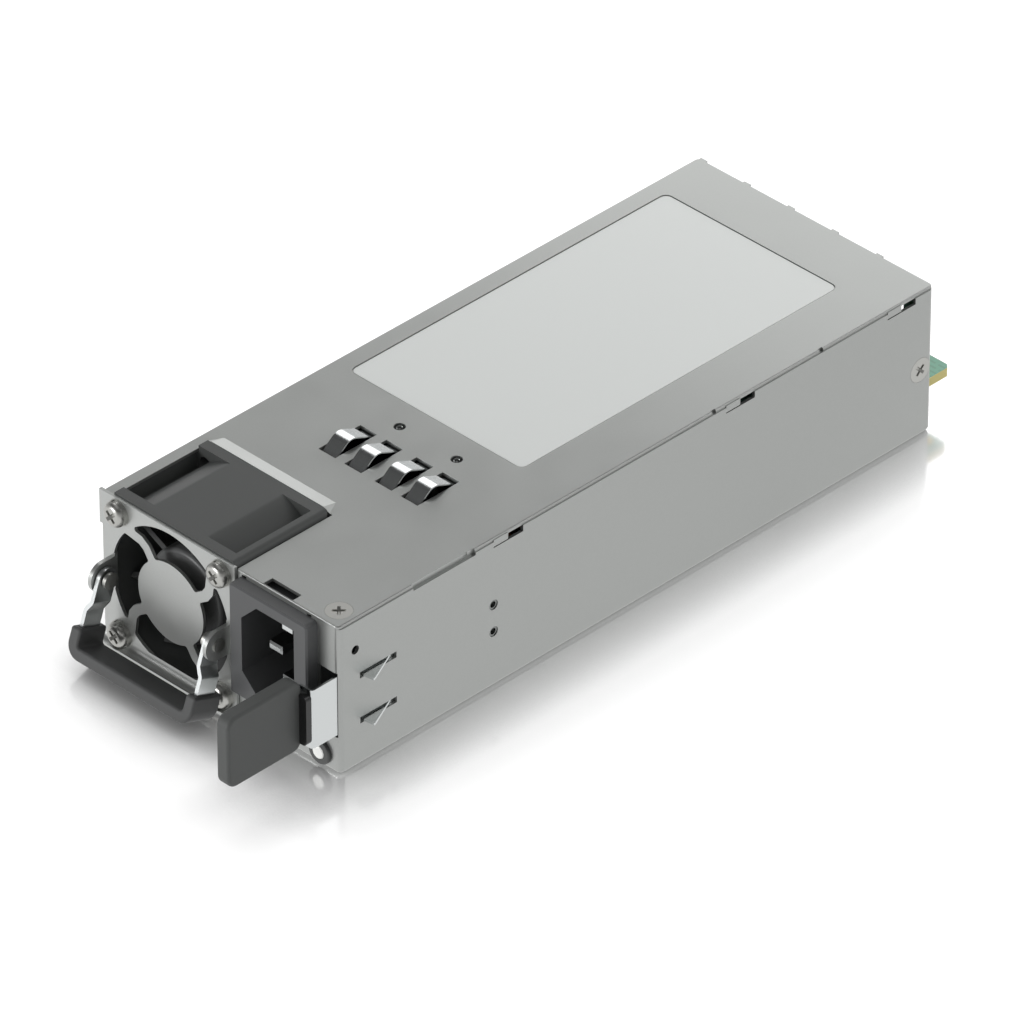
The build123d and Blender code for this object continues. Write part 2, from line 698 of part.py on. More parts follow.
# Fan guard
pivot_y = front - pivot_ahead
guard_left = left + guard_side_inset
guard_right = fan_x + fan_size / 2 + 0.3
arm_bends = [(guard_opening / 2 + 1, 3), (guard_opening * 0.415, -8), (guard_opening * 0.36, -11),
             (guard_disc * 0.42, -11)]
with BuildPart() as fan_guard:
    with BuildSketch(front_plane):
        with Locations((guard_left, lip_height)):
            Rectangle(guard_right - guard_left, guard_top - lip_height, align=(Align.MIN, Align.MIN))
        with Locations((left, guard_top)):
            Rectangle(guard_side_inset + 1, guard_ear_height, align=(Align.MIN, Align.MAX))
    extrude(amount=guard_thickness)
    # flared lip along the lower edge, with round corners
    with BuildSketch(Plane.YZ.offset(guard_left)):
        with BuildLine():
            TangentArc((front - guard_thickness / 2, lip_height),
                       (front - guard_thickness / 2 - lip_reach, guard_thickness / 2 + thin_gap),
                       tangent=(0, -1))
        trace(line_width=guard_thickness)
    extrude(amount=guard_right - guard_left)
    # flat pads in the lip, under the lower washers
    pad_radius = flat_washer_diameter / 2 + 0.15
    with BuildSketch(Plane.XZ.offset(-guard_face)):
        for x, z in fan_screw_spots:
            with Locations((x, z)):
                Circle(pad_radius)
    extrude(amount=2 * lip_reach, mode=Mode.SUBTRACT)
    with BuildSketch(front_plane):
        for x, z in fan_screw_spots:
            with Locations((x, z)):
                Circle(pad_radius + 0.2)
    extrude(amount=guard_thickness)
    # round opening behind a disc that hangs on four bent arms
    with BuildSketch(front_plane):
        with Locations((fan_x, fan_z)):
            Circle(guard_opening / 2)
            Circle(guard_disc / 2, mode=Mode.SUBTRACT)
        for quarter in (45, 135, 225, 315):
            with BuildLine():
                Polyline(*[(fan_x + radius * math.cos(math.radians(quarter + bend)),
                            fan_z + radius * math.sin(math.radians(quarter + bend)))
                           for radius, bend in arm_bends])
            trace(line_width=guard_arm_width, mode=Mode.SUBTRACT)
        offset(amount=-0.7)
        offset(amount=0.7)
    extrude(amount=guard_thickness, mode=Mode.SUBTRACT)
    # ears for the handle, bent forward from the edge of the opening
    for side in (-1, 1):
        ear_x = fan_x + side * (handle_half_width - ear_thickness / 2)
        with BuildSketch(front_plane):
            with Locations((fan_x + side * (handle_half_width + 0.5), pivot_height)):
                Rectangle(2 * ear_thickness + 1, 2 * ear_radius + 1.6)
        extrude(amount=guard_thickness)
        with BuildSketch(Plane.YZ.offset(ear_x)):
            with Locations((pivot_y, pivot_height)):
                Circle(ear_radius)
                Rectangle(pivot_ahead - thin_gap, 2 * ear_radius, align=(Align.MIN, Align.CENTER))
                Circle(rivet_diameter / 2, mode=Mode.SUBTRACT)
        extrude(amount=ear_thickness / 2, both=True)
    with BuildSketch(front_plane):
        for x, z in fan_screw_spots:
            with Locations((x, z)):
                Circle(screw_shank / 2 + 0.2)
    extrude(amount=guard_thickness, mode=Mode.SUBTRACT)
fan_guard.part.label = "fan_guard"
export_step(fan_guard.part, "parts/fan_guard.step")

# Fan screws and washers, four of each
def on_guard(ahead):
    """Places of the fan screws, looking out of the front, this far ahead of the guard."""
    return [Location((x, guard_face - ahead, z), (90, 0, 0)) for x, z in fan_screw_spots]


with BuildPart() as fan_flat_washers:
    with Locations(*on_guard(0)):
        Cylinder(flat_washer_diameter / 2, flat_washer_thickness,
                 align=(Align.CENTER, Align.CENTER, Align.MIN))
        Cylinder(screw_shank / 2 + thin_gap, 4 * flat_washer_thickness, mode=Mode.SUBTRACT)
fan_flat_washers.part.label = "fan_flat_washers"
export_step(fan_flat_washers.part, "parts/fan_flat_washers.step")

with BuildPart() as fan_lock_washers:
    with Locations(*on_guard(flat_washer_thickness)):
        Cylinder(screw_head / 2 + 0.1, lock_washer_thickness, align=(Align.CENTER, Align.CENTER, Align.MIN))
        Cylinder(screw_shank / 2 + thin_gap, 4 * lock_washer_thickness, mode=Mode.SUBTRACT)
        Box(0.5, screw_head, 4 * lock_washer_thickness, rotation=(0, 0, 20),
            align=(Align.CENTER, Align.MIN, Align.CENTER), mode=Mode.SUBTRACT)
fan_lock_washers.part.label = "fan_lock_washers"
export_step(fan_lock_washers.part, "parts/fan_lock_washers.step")

with BuildPart() as fan_screws:
    with Locations(*on_guard(flat_washer_thickness + lock_washer_thickness)):
        add(pan_screw(screw_head, screw_head_height, screw_shank, screw_length))
fan_screws.part.label = "fan_screws"
export_step(fan_screws.part, "parts/fan_screws.step")

# Handle: steel bail, modelled at the angle at which it rests
lean = math.radians(handle_rest_angle)
arm_down = Vector(0, -math.sin(lean), -math.cos(lean))
arm_ahead = Vector(0, -math.cos(lean), math.sin(lean))
pivot = Vector(fan_x, pivot_y, pivot_height)
bail_plane = Plane(origin=pivot, x_dir=(1, 0, 0), z_dir=arm_ahead)
arm_in = handle_half_width - ear_thickness - moving_gap - arm_thickness / 2
arm_out = arm_in + arm_jog
bail_bottom = -handle_length + grip_thickness / 2
bail_corner = grip_thickness * 0.75
jog_start = arm_width / 2 + 2.8
jog_end = jog_start + 2.2
straight_end = jog_start - 0.5
jog_radius = 0.8
with BuildPart() as handle_frame:
    with BuildSketch(bail_plane.offset(-arm_width / 2)):
        with BuildLine():
            FilletPolyline((-arm_in, -straight_end), (-arm_in, -jog_start), (-arm_out, -jog_end),
                           (-arm_out, bail_bottom), (arm_out, bail_bottom), (arm_out, -jog_end),
                           (arm_in, -jog_start), (arm_in, -straight_end),
                           radius=[jog_radius, jog_radius, bail_corner, bail_corner, jog_radius, jog_radius])
        trace(line_width=arm_thickness)
    extrude(amount=arm_width)
    for side in (-1, 1):
        side_plane = Plane(origin=pivot + Vector(side * arm_in, 0, 0), x_dir=arm_down, z_dir=(1, 0, 0))
        with BuildSketch(side_plane.offset(-arm_thickness / 2)):
            Circle(arm_width / 2)
            Rectangle(straight_end, arm_width, align=(Align.MIN, Align.CENTER))
        extrude(amount=arm_thickness)
    with Locations(Location(pivot, (0, 90, 0))):
        Cylinder(rivet_diameter / 2 + rivet_clearance, 3 * handle_half_width, mode=Mode.SUBTRACT)
handle_frame.part.label = "handle_frame"
export_step(handle_frame.part, "parts/handle_frame.step")

with BuildPart() as handle_grip:
    with BuildSketch(bail_plane):
        with BuildLine():
            FilletPolyline((-arm_out, -handle_length + grip_leg), (-arm_out, bail_bottom),
                           (arm_out, bail_bottom), (arm_out, -handle_length + grip_leg),
                           radius=bail_corner)
        trace(line_width=grip_thickness)
    extrude(amount=grip_depth / 2, both=True)
    fillet(handle_grip.edges(), 0.7)
    add(handle_frame.part, mode=Mode.SUBTRACT)
handle_grip.part.label = "handle_grip"
export_step(handle_grip.part, "parts/handle_grip.step")

# Rivets that hold the bail in the ears, in one node
with BuildPart() as handle_rivets:
    for side in (-1, 1):
        head_x = arm_in - arm_thickness / 2 - moving_gap
        with Locations(Location((fan_x + side * head_x, pivot_y, pivot_height), (0, side * 90, 0))):
            Cylinder(rivet_head / 2, 0.9, align=(Align.CENTER, Align.CENTER, Align.MAX))
            Cylinder(rivet_diameter / 2, handle_half_width - head_x,
                     align=(Align.CENTER, Align.CENTER, Align.MIN))
        with Locations(Location((fan_x + side * handle_half_width, pivot_y, pivot_height),
                                (0, side * 90, 0))):
            Cylinder(rivet_head * 0.4, 0.4, align=(Align.CENTER, Align.CENTER, Align.MIN))
handle_rivets.part.label = "handle_rivets"
export_step(handle_rivets.part, "parts/handle_rivets.step")

# Inlet: housing with a chamfered socket, and three blades
inlet_plane = Plane.XZ.offset(-inlet_face)
socket_floor = inlet_face + socket_depth
with BuildPart() as inlet_housing:
    with BuildSketch(inlet_plane):
        with Locations((inlet_x, inlet_height)):
            RectangleRounded(inlet_face_width, inlet_face_height, 1.0)
    extrude(amount=-inlet_face_thickness)
    chamfer(inlet_housing.faces().sort_by(Axis.Y)[0].edges(), 0.4)
    with BuildSketch(front_plane):
        with Locations((inlet_x, inlet_height)):
            Rectangle(inlet_body_width, inlet_body_height)
    extrude(amount=-inlet_body_depth)
    with BuildSketch(inlet_plane) as socket_mouth:
        with Locations((inlet_x, inlet_height)):
            Rectangle(socket_width, socket_height)
        chamfer(socket_mouth.vertices().group_by(Axis.X)[0], socket_chamfer)
    extrude(amount=-socket_depth, mode=Mode.SUBTRACT)
    with BuildSketch(inlet_plane):
        with Locations((inlet_x, inlet_height)):
            with Locations((-pin_offset / 2, 0), (pin_offset / 2, pin_spacing / 2),
                           (pin_offset / 2, -pin_spacing / 2)):
                Rectangle(pin_width, pin_thickness)
    extrude(amount=-2 * inlet_body_depth, mode=Mode.SUBTRACT)
inlet_housing.part.label = "inlet_housing"
export_step(inlet_housing.part, "parts/inlet_housing.step")

pin_end = front + inlet_body_depth + pin_tail
with BuildPart() as inlet_pins:
    with BuildSketch(inlet_plane.offset(-pin_recess)):
        with Locations((inlet_x, inlet_height)):
            with Locations((-pin_offset / 2, 0), (pin_offset / 2, pin_spacing / 2),
                           (pin_offset / 2, -pin_spacing / 2)):
                Rectangle(pin_width, pin_thickness)
    extrude(amount=-(pin_end - inlet_face - pin_recess))
    chamfer(inlet_pins.faces().group_by(Axis.Y)[0].edges(), 0.45)
inlet_pins.part.label = "inlet_pins"
export_step(inlet_pins.part, "parts/inlet_pins.step")

# Latch: moving strip with two teeth; its foot is riveted inside the right wall
strip_x = strip_outer - strip_thickness / 2
with BuildPart() as latch_spring:
    with BuildSketch(Plane.XY.offset(strip_bottom)):
        with BuildLine():
            FilletPolyline((strip_x, strip_pivot_y - moving_gap / 2), (strip_x, strip_tip),
                           (strip_x - tab_step, strip_tip), (strip_x - tab_step, strip_tip - tab_length * 0.6),
                           radius=0.6)
        trace(line_width=strip_thickness)
    extrude(amount=strip_height)
    for z in tooth_heights:
        with BuildSketch(Plane.XY.offset(z)):
            with BuildLine():
                Polyline((strip_x, front + tooth_from_front),
                         (right + tooth_reach, front + tooth_from_front + 0.6),
                         (right + tooth_reach, front + tooth_from_front + 1.0),
                         (strip_x, front + tooth_from_front + tooth_length), close=True)
            make_face()
        extrude(amount=tooth_thickness / 2, both=True)
latch_spring.part.label = "latch_spring"
export_step(latch_spring.part, "parts/latch_spring.step")

with BuildPart() as latch_foot:
    with Locations((right - sheet, strip_pivot_y + moving_gap / 2, strip_bottom)):
        Box(strip_thickness, foot_length, strip_height, align=(Align.MAX, Align.MIN, Align.MIN))
    with BuildSketch(Plane.YZ.offset(right - sheet)):
        for z in latch_rivet_heights:
            with Locations((latch_rivet_y, z)):
                Circle(latch_rivet_diameter / 2)
    extrude(amount=-2 * strip_thickness, mode=Mode.SUBTRACT)
latch_foot.part.label = "latch_foot"
export_step(latch_foot.part, "parts/latch_foot.step")

with BuildPart() as latch_rivets:
    for z in latch_rivet_heights:
        with Locations(Location((right - sheet - strip_thickness, latch_rivet_y, z), (0, 90, 0))):
            Cylinder(latch_rivet_diameter / 2, strip_thickness + sheet - 0.2,
                     align=(Align.CENTER, Align.CENTER, Align.MIN))
            Cylinder(latch_rivet_diameter * 0.75, 0.7, align=(Align.CENTER, Align.CENTER, Align.MAX))
        with Locations(Location((right, latch_rivet_y, z), (0, 90, 0))):
            Cylinder(latch_rivet_diameter * 0.3, 2, mode=Mode.SUBTRACT)
latch_rivets.part.label = "latch_rivets"
export_step(latch_rivets.part, "parts/latch_rivets.step")

tab_x = strip_x - tab_step - tab_core_offset
tab_z = strip_bottom + strip_height / 2 + tab_lift
with BuildPart() as latch_tab:
    with BuildSketch(Plane.YZ.offset(tab_x)):
        with Locations((strip_tip - tab_gap, tab_z)):
            RectangleRounded(tab_length, tab_height, tab_corner, align=(Align.MAX, Align.CENTER))
    extrude(amount=tab_thickness / 2, both=True)
    fillet(latch_tab.edges(), tab_edge_radius)
    with BuildSketch(Plane.XZ.offset(-strip_tip + strip_thickness / 2)):
        with Locations((tab_x, strip_bottom + strip_height / 2)):
            RectangleRounded(strip_x - tab_x, strip_height - 2 * root_margin, root_margin,
                             align=(Align.MIN, Align.CENTER))
    extrude(amount=strip_thickness + root_thickness)
    add(latch_spring.part, mode=Mode.SUBTRACT)
latch_tab.part.label = "latch_tab"
export_step(latch_tab.part, "parts/latch_tab.step")

# Indicator lamp: dark ring and white lens
with BuildPart() as lamp_bezel:
    with BuildSketch(front_plane):
        with Locations((lamp_x, lamp_height)):
            Circle(lamp_ring / 2)
    extrude(amount=0.9)
    fillet(lamp_bezel.edges().filter_by(GeomType.CIRCLE).sort_by(Axis.Y)[0], 0.4)
    with BuildSketch(front_plane):
        with Locations((lamp_x, lamp_height)):
            Circle(lamp_lens / 2 + 0.6)
    extrude(amount=-sheet - 1)
    with BuildSketch(front_plane.offset(2)):
        with Locations((lamp_x, lamp_height)):
            Circle(lamp_lens / 2)
    extrude(amount=-8, mode=Mode.SUBTRACT)
lamp_bezel.part.label = "lamp_bezel"
export_step(lamp_bezel.part, "parts/lamp_bezel.step")

with BuildPart() as lamp_lens_part:
    with BuildSketch(front_plane.offset(1.2)):
        with Locations((lamp_x, lamp_height)):
            Circle(lamp_lens / 2)
    extrude(amount=-5)
    fillet(lamp_lens_part.edges().filter_by(GeomType.CIRCLE).sort_by(Axis.Y)[0], 0.5)
lamp_lens_part.part.label = "lamp_lens"
export_step(lamp_lens_part.part, "parts/lamp_lens.step")

# Ground fingers, each a body of its own
finger_low = wall_top - 0.45
for number, x in enumerate(finger_places, start=1):
    with BuildPart() as finger:
        with BuildSketch(Plane.YZ.offset(x)):
            with BuildLine():
                FilletPolyline((front + finger_root, finger_low), (front + finger_root - 0.9, finger_low),
                               (front + finger_root - 2.6, case_height + 0.3),
                               (front + finger_front + finger_crest_from_tip, case_height + finger_rise),
                               (front + finger_front, finger_low), radius=[0.3, 0.8, finger_crest_radius])
            trace(line_width=finger_thickness)
        extrude(amount=finger_width / 2, both=True)
    finger.part.label = f"ground_finger_{number}"
    export_step(finger.part, f"parts/ground_finger_{number}.step")

with BuildPart() as ground_strip:
    with Locations((finger_centre, front + finger_root + moving_gap, wall_top)):
        Box(ground_strip_width, ground_strip_length, finger_thickness,
            align=(Align.CENTER, Align.MIN, Align.MAX))
    with Locations((finger_centre, dimple_y, wall_top)):
        with GridLocations(dimple_spacing, 1, 2, 1):
            Cylinder(dimple_diameter / 2, 4 * finger_thickness, mode=Mode.SUBTRACT)
ground_strip.part.label = "ground_strip"
export_step(ground_strip.part, "parts/ground_strip.step")

with BuildPart() as ground_rivets:
    with Locations((finger_centre, dimple_y, wall_top - finger_thickness)):
        with GridLocations(dimple_spacing, 1, 2, 1):
            Cylinder(dimple_diameter / 2, finger_thickness + sheet - 0.15,
                     align=(Align.CENTER, Align.CENTER, Align.MIN))
            Cylinder(dimple_diameter * 0.7, 0.4, align=(Align.CENTER, Align.CENTER, Align.MAX))
    with Locations((finger_centre, dimple_y, case_height)):
        with GridLocations(dimple_spacing, 1, 2, 1):
            Sphere(dimple_diameter * 0.42, mode=Mode.SUBTRACT)
ground_rivets.part.label = "ground_rivets"
export_step(ground_rivets.part, "parts/ground_rivets.step")

# Flat head screws of the case
with BuildPart() as cover_screw:
    with Locations(cover_screw_spot):
        add(flat_screw(flat_screw_head, flat_screw_shank, flat_screw_length))
cover_screw.part.label = "cover_screw"
export_step(cover_screw.part, "parts/cover_screw.step")

with BuildPart() as side_screws:
    with Locations(*side_screw_spots):
        add(flat_screw(flat_screw_head, flat_screw_shank, flat_screw_length))
side_screws.part.label = "side_screws"
export_step(side_screws.part, "parts/side_screws.step")

# Main board on its insulating sheet, standoffs and screws
board_length = board_rear - board_front
board_middle = (board_rear + board_front) / 2
with BuildPart() as insulator_sheet:
    with BuildSketch(Plane.XY.offset(sheet)):
        with Locations(((board_left + board_right) / 2, board_middle)):
            RectangleRounded(board_right - board_left - 1, board_length - 1, 2)
        with Locations(*standoff_spots):
            Circle(standoff_diameter / 2 + 0.3, mode=Mode.SUBTRACT)
    extrude(amount=insulator_thickness)
insulator_sheet.part.label = "insulator_sheet"
export_step(insulator_sheet.part, "parts/insulator_sheet.step")

standoff_bore = standoff_diameter / 2
with BuildPart() as standoffs:
    with BuildSketch(Plane.XY.offset(sheet)):
        with Locations(*standoff_spots):
            Circle(standoff_diameter / 2)
            Circle(standoff_bore / 2, mode=Mode.SUBTRACT)
    extrude(amount=standoff_height)
standoffs.part.label = "standoffs"
export_step(standoffs.part, "parts/standoffs.step")

with BuildPart() as main_board:
    with BuildSketch(Plane.XY.offset(board_under)):
        with Locations(((board_left + board_right) / 2, board_middle)):
            RectangleRounded(board_right - board_left, board_length, 1)
        with Locations(*standoff_spots):
            Circle(standoff_bore / 2 + 0.15, mode=Mode.SUBTRACT)
    extrude(amount=board_thickness)
main_board.part.label = "main_board"
export_step(main_board.part, "parts/main_board.step")

with BuildPart() as board_screws:
    with Locations(*[(x, y, board_top) for x, y in standoff_spots]):
        add(pan_screw(board_screw_head, board_screw_head * 0.3, standoff_bore - thin_gap, 4.0))
board_screws.part.label = "board_screws"
export_step(board_screws.part, "parts/board_screws.step")

# Card edge board, its contacts on the underside, and the header that joins it to the main board
card_front = rear - card_inside
card_end = rear + card_reach
card_middle = (card_left + card_right) / 2
with BuildPart() as card_edge_board:
    with BuildSketch(Plane.XY.offset(card_bottom)) as card_outline:
        with Locations((card_middle, card_front)):
            Rectangle(card_width, card_end - card_front, align=(Align.CENTER, Align.MIN))
        with Locations((card_left + card_width * 0.4, card_end)):
            Rectangle(card_notch_width, card_notch_length, align=(Align.CENTER, Align.MAX), mode=Mode.SUBTRACT)
        rear_vertices = card_outline.vertices().group_by(Axis.Y)[-1].sort_by(Axis.X)
        chamfer([rear_vertices[0], rear_vertices[-1]], 1.0)
    extrude(amount=card_thickness)
card_edge_board.part.label = "card_edge_board"
export_step(card_edge_board.part, "parts/card_edge_board.step")

with BuildPart() as card_contacts:
    with BuildSketch(Plane.XY.offset(card_bottom)):
        with Locations((card_left + card_width * 0.18, card_end - 1 - contact_length / 2)):
            with GridLocations(2.0, 1, 8, 1):
                Rectangle(1.3, contact_length - 1)
        with Locations((card_left + card_width * 0.72, card_end - 1 - contact_length / 2)):
            with GridLocations(7.0, 1, 4, 1):
                Rectangle(5.8, contact_length - 1)
    extrude(amount=-contact_thickness)
card_contacts.part.label = "card_contacts"
export_step(card_contacts.part, "parts/card_contacts.step")

header_front = card_front + 2
with BuildPart() as card_header:
    with BuildSketch(Plane.XY.offset(board_top)):
        with Locations((card_middle - header_offset, header_front)):
            Rectangle(card_width - 2 * header_inset, header_length, align=(Align.CENTER, Align.MIN))
    extrude(amount=card_bottom - board_top)
card_header.part.label = "card_header"
export_step(card_header.part, "parts/card_header.step")


def choke(diameter, height, gap, number):
    """Ring core and the wire wound over it, standing on Z = 0, open at two gaps."""
    with BuildPart() as core:
        with Locations((0, 0, winding_thickness)):
            Cylinder(diameter / 2 - winding_thickness, height - 2 * winding_thickness,
                     align=(Align.CENTER, Align.CENTER, Align.MIN))
        Cylinder(diameter / 4 + winding_thickness, 4 * height, mode=Mode.SUBTRACT)
    with BuildPart() as winding:
        Cylinder(diameter / 2, height, align=(Align.CENTER, Align.CENTER, Align.MIN))
        Cylinder(diameter / 4, 4 * height, mode=Mode.SUBTRACT)
        with PolarLocations(diameter / 2, number):
            Cylinder(winding_thickness * 0.4, 4 * height, mode=Mode.SUBTRACT)
        Box(gap, 2 * diameter, 4 * height, mode=Mode.SUBTRACT)
        add(core.part, mode=Mode.SUBTRACT)
    return core.part, winding.part


# Filter choke and power factor choke
emi_spot = Location((board_left + emi_choke_from_left + emi_choke_diameter / 2,
                     board_front + emi_choke_from_front + emi_choke_diameter / 2, board_top))
emi_core, emi_winding = choke(emi_choke_diameter, emi_choke_height, emi_winding_gap, 28)
with BuildPart() as emi_choke_core:
    with Locations(emi_spot):
        add(emi_core)
emi_choke_core.part.label = "emi_choke_core"
export_step(emi_choke_core.part, "parts/emi_choke_core.step")

with BuildPart() as emi_choke_winding:
    with Locations(emi_spot):
        add(emi_winding)
emi_choke_winding.part.label = "emi_choke_winding"
export_step(emi_choke_winding.part, "parts/emi_choke_winding.step")

capacitor_front = front + capacitor_from_front
capacitor_x = board_left + part_from_side + capacitor_diameter / 2
pfc_spot = Location((board_right - part_from_side - pfc_choke_diameter / 2, capacitor_front + pfc_choke_diameter / 2,
                     board_top))
pfc_core, pfc_winding = choke(pfc_choke_diameter, pfc_choke_height, pfc_winding_gap, 36)
with BuildPart() as pfc_choke_core:
    with Locations(pfc_spot):
        add(pfc_core)
pfc_choke_core.part.label = "pfc_choke_core"
export_step(pfc_choke_core.part, "parts/pfc_choke_core.step")

with BuildPart() as pfc_choke_winding:
    with Locations(pfc_spot):
        add(pfc_winding)
pfc_choke_winding.part.label = "pfc_choke_winding"
export_step(pfc_choke_winding.part, "parts/pfc_choke_winding.step")

# Small parts behind the inlet: film capacitor, relay and fuse
filter_x = inlet_x - 5
with BuildPart() as film_capacitor:
    with Locations((filter_x, board_front + film_capacitor_from_edge, board_top)):
        Box(film_capacitor_width, film_capacitor_length, film_capacitor_height,
            align=(Align.CENTER, Align.CENTER, Align.MIN))
    fillet(film_capacitor.edges().filter_by(Axis.Z), 0.6)
film_capacitor.part.label = "film_capacitor"
export_step(film_capacitor.part, "parts/film_capacitor.step")

with BuildPart() as relay:
    with Locations((filter_x, board_front + relay_from_edge, board_top)):
        Box(relay_width, relay_length, relay_height, align=(Align.CENTER, Align.CENTER, Align.MIN))
    chamfer(relay.faces().sort_by(Axis.Z)[-1].edges(), 0.5)
relay.part.label = "relay"
export_step(relay.part, "parts/relay.step")

with BuildPart() as fuse:
    with Locations((board_right - fuse_from_edge, board_front + relay_from_edge,
                    board_top + fuse_diameter / 2)):
        Cylinder(fuse_diameter / 2, fuse_length, rotation=(90, 0, 0))
        Cylinder(fuse_diameter / 2 - 0.4, fuse_length * 0.4, rotation=(90, 0, 0))
fuse.part.label = "fuse"
export_step(fuse.part, "parts/fuse.step")

# Bulk capacitor, lying on the board
with BuildPart() as bulk_capacitor:
    with Locations(Location((capacitor_x, capacitor_front, board_top + capacitor_diameter / 2), (-90, 0, 0))):
        Cylinder(capacitor_diameter / 2, capacitor_length, align=(Align.CENTER, Align.CENTER, Align.MIN))
        with Locations((0, 0, 4)):
            Torus(capacitor_diameter / 2, 0.8, mode=Mode.SUBTRACT)
    fillet(bulk_capacitor.edges().filter_by(GeomType.CIRCLE).sort_by(Axis.Y)[-1], 1.5)
bulk_capacitor.part.label = "bulk_capacitor"
export_step(bulk_capacitor.part, "parts/bulk_capacitor.step")

# Heat sinks with a comb of short fins on top, and the transistors on the first one
capacitor_end = capacitor_front + capacitor_length
sink_x = capacitor_x + capacitor_diameter / 2 + 1.25 + heat_sink_thickness / 2
transformer_y = rear - transformer_from_rear
second_sink_x = transformer_width / 2 + 4 + heat_sink_thickness / 2


def heat_sink(x, start, length):
    """Upright plate on the board, cut into teeth along its top edge."""
    with BuildPart() as plate:
        with Locations((x, start, board_top)):
            Box(heat_sink_thickness, length, heat_sink_height, align=(Align.CENTER, Align.MIN, Align.MIN))
        with Locations((x, start + length / 2, board_top + heat_sink_height)):
            with GridLocations(1, 5.0, 1, int(length / 5.0) - 1):
                Box(2 * heat_sink_thickness, 2.0, 10.0, mode=Mode.SUBTRACT)
    return plate.part


with BuildPart() as heat_sink_primary:
    add(heat_sink(sink_x, capacitor_front, capacitor_length))
heat_sink_primary.part.label = "heat_sink_primary"
export_step(heat_sink_primary.part, "parts/heat_sink_primary.step")

with BuildPart() as heat_sink_secondary:
    add(heat_sink(second_sink_x, transformer_y - transformer_length / 2, transformer_length))
heat_sink_secondary.part.label = "heat_sink_secondary"
export_step(heat_sink_secondary.part, "parts/heat_sink_secondary.step")

transistor_face = sink_x + heat_sink_thickness / 2
with BuildPart() as transistors:
    for y in (capacitor_end - 6, capacitor_end - 8 - transistor_width):
        with Locations((transistor_face, y, board_top + transistor_leg)):
            Box(transistor_thickness, transistor_width, transistor_height,
                align=(Align.MIN, Align.CENTER, Align.MIN))
        with Locations((transistor_face + transistor_thickness / 2, y, board_top)):
            with GridLocations(1, 2.54, 1, 3):
                Box(0.6, 1.0, transistor_leg, align=(Align.CENTER, Align.CENTER, Align.MIN))
transistors.part.label = "transistors"
export_step(transistors.part, "parts/transistors.step")

# Transformer: core with two windows, windings round the middle leg
with BuildPart() as transformer_core:
    with Locations((0, transformer_y, board_top)):
        Box(transformer_width, core_length, transformer_height, align=(Align.CENTER, Align.CENTER, Align.MIN))
    window_width = (transformer_width - 4 * core_leg) / 2
    window_height = transformer_height - 2 * core_leg
    with Locations((0, transformer_y, board_top + transformer_height / 2)):
        with Locations((-core_leg - window_width / 2, 0, 0), (core_leg + window_width / 2, 0, 0)):
            Box(window_width, 2 * core_length, window_height, mode=Mode.SUBTRACT)
transformer_core.part.label = "transformer_core"
export_step(transformer_core.part, "parts/transformer_core.step")

with BuildPart() as transformer_windings:
    with Locations((0, transformer_y, board_top + transformer_height / 2)):
        Box(2 * (core_leg + window_width) - 0.4, transformer_length, window_height)
    fillet(transformer_windings.edges().filter_by(Axis.Z), 2.0)
    with Locations((0, transformer_y, board_top + transformer_height / 2)):
        Box(2 * core_leg, core_length, 2 * window_height, mode=Mode.SUBTRACT)
transformer_windings.part.label = "transformer_windings"
export_step(transformer_windings.part, "parts/transformer_windings.step")

# Output side: a row of capacitors with two bars between them, and the controller board
with BuildPart() as output_capacitors:
    for side in (-1, 1):
        with Locations((side * 2 * output_capacitor_pitch, card_front - card_part_gap, board_top)):
            with GridLocations(output_capacitor_pitch, 1, 3, 1):
                Cylinder(output_capacitor_diameter / 2, output_capacitor_height,
                         align=(Align.CENTER, Align.CENTER, Align.MIN))
    fillet(output_capacitors.edges().filter_by(GeomType.CIRCLE).group_by(Axis.Z)[-1], 0.5)
output_capacitors.part.label = "output_capacitors"
export_step(output_capacitors.part, "parts/output_capacitors.step")

bar_start = transformer_y + transformer_length / 2 + 2
with BuildPart() as bus_bars:
    for side in (-1, 1):
        with Locations((side * (bar_width / 2 + 0.75), bar_start, board_top)):
            Box(bar_width, header_front - bar_start, bar_thickness, align=(Align.CENTER, Align.MIN, Align.MIN))
bus_bars.part.label = "bus_bars"
export_step(bus_bars.part, "parts/bus_bars.step")

with BuildPart() as controller_board:
    with Locations((board_right - 4, transformer_y + 12, board_top)):
        Box(board_thickness, controller_length, controller_height, align=(Align.MAX, Align.MAX, Align.MIN))
controller_board.part.label = "controller_board"
export_step(controller_board.part, "parts/controller_board.step")

# Wires: three from the inlet to the board, two from the fan to its plug
inlet_runs = [(inlet_x - pin_offset / 2, inlet_height, 3.5),
              (inlet_x + pin_offset / 2, inlet_height - pin_spacing / 2, 1.5),
              (inlet_x + pin_offset / 2, inlet_height + pin_spacing / 2, 5.0)]
with BuildPart() as inlet_leads:
    for x, z, behind in inlet_runs:
        landing = board_front + behind
        with BuildLine(Plane.YZ.offset(x)) as wire_path:
            FilletPolyline((pin_end, z), (landing, z), (landing, board_top), radius=2 * inlet_wire)
        with BuildSketch(Plane(origin=wire_path.line @ 0, z_dir=wire_path.line % 0)):
            Circle(inlet_wire / 2)
        sweep(path=wire_path.line)
inlet_leads.part.label = "inlet_leads"
export_step(inlet_leads.part, "parts/inlet_leads.step")

plug_x = fan_x - plug_offset
plug_y = board_front + 1 + plug_length / 2
with BuildPart() as fan_plug:
    with Locations((plug_x, plug_y, board_top)):
        Box(plug_width, plug_length, plug_height, align=(Align.CENTER, Align.CENTER, Align.MIN))
    chamfer(fan_plug.faces().sort_by(Axis.Z)[-1].edges(), 0.4)
fan_plug.part.label = "fan_plug"
export_step(fan_plug.part, "parts/fan_plug.step")

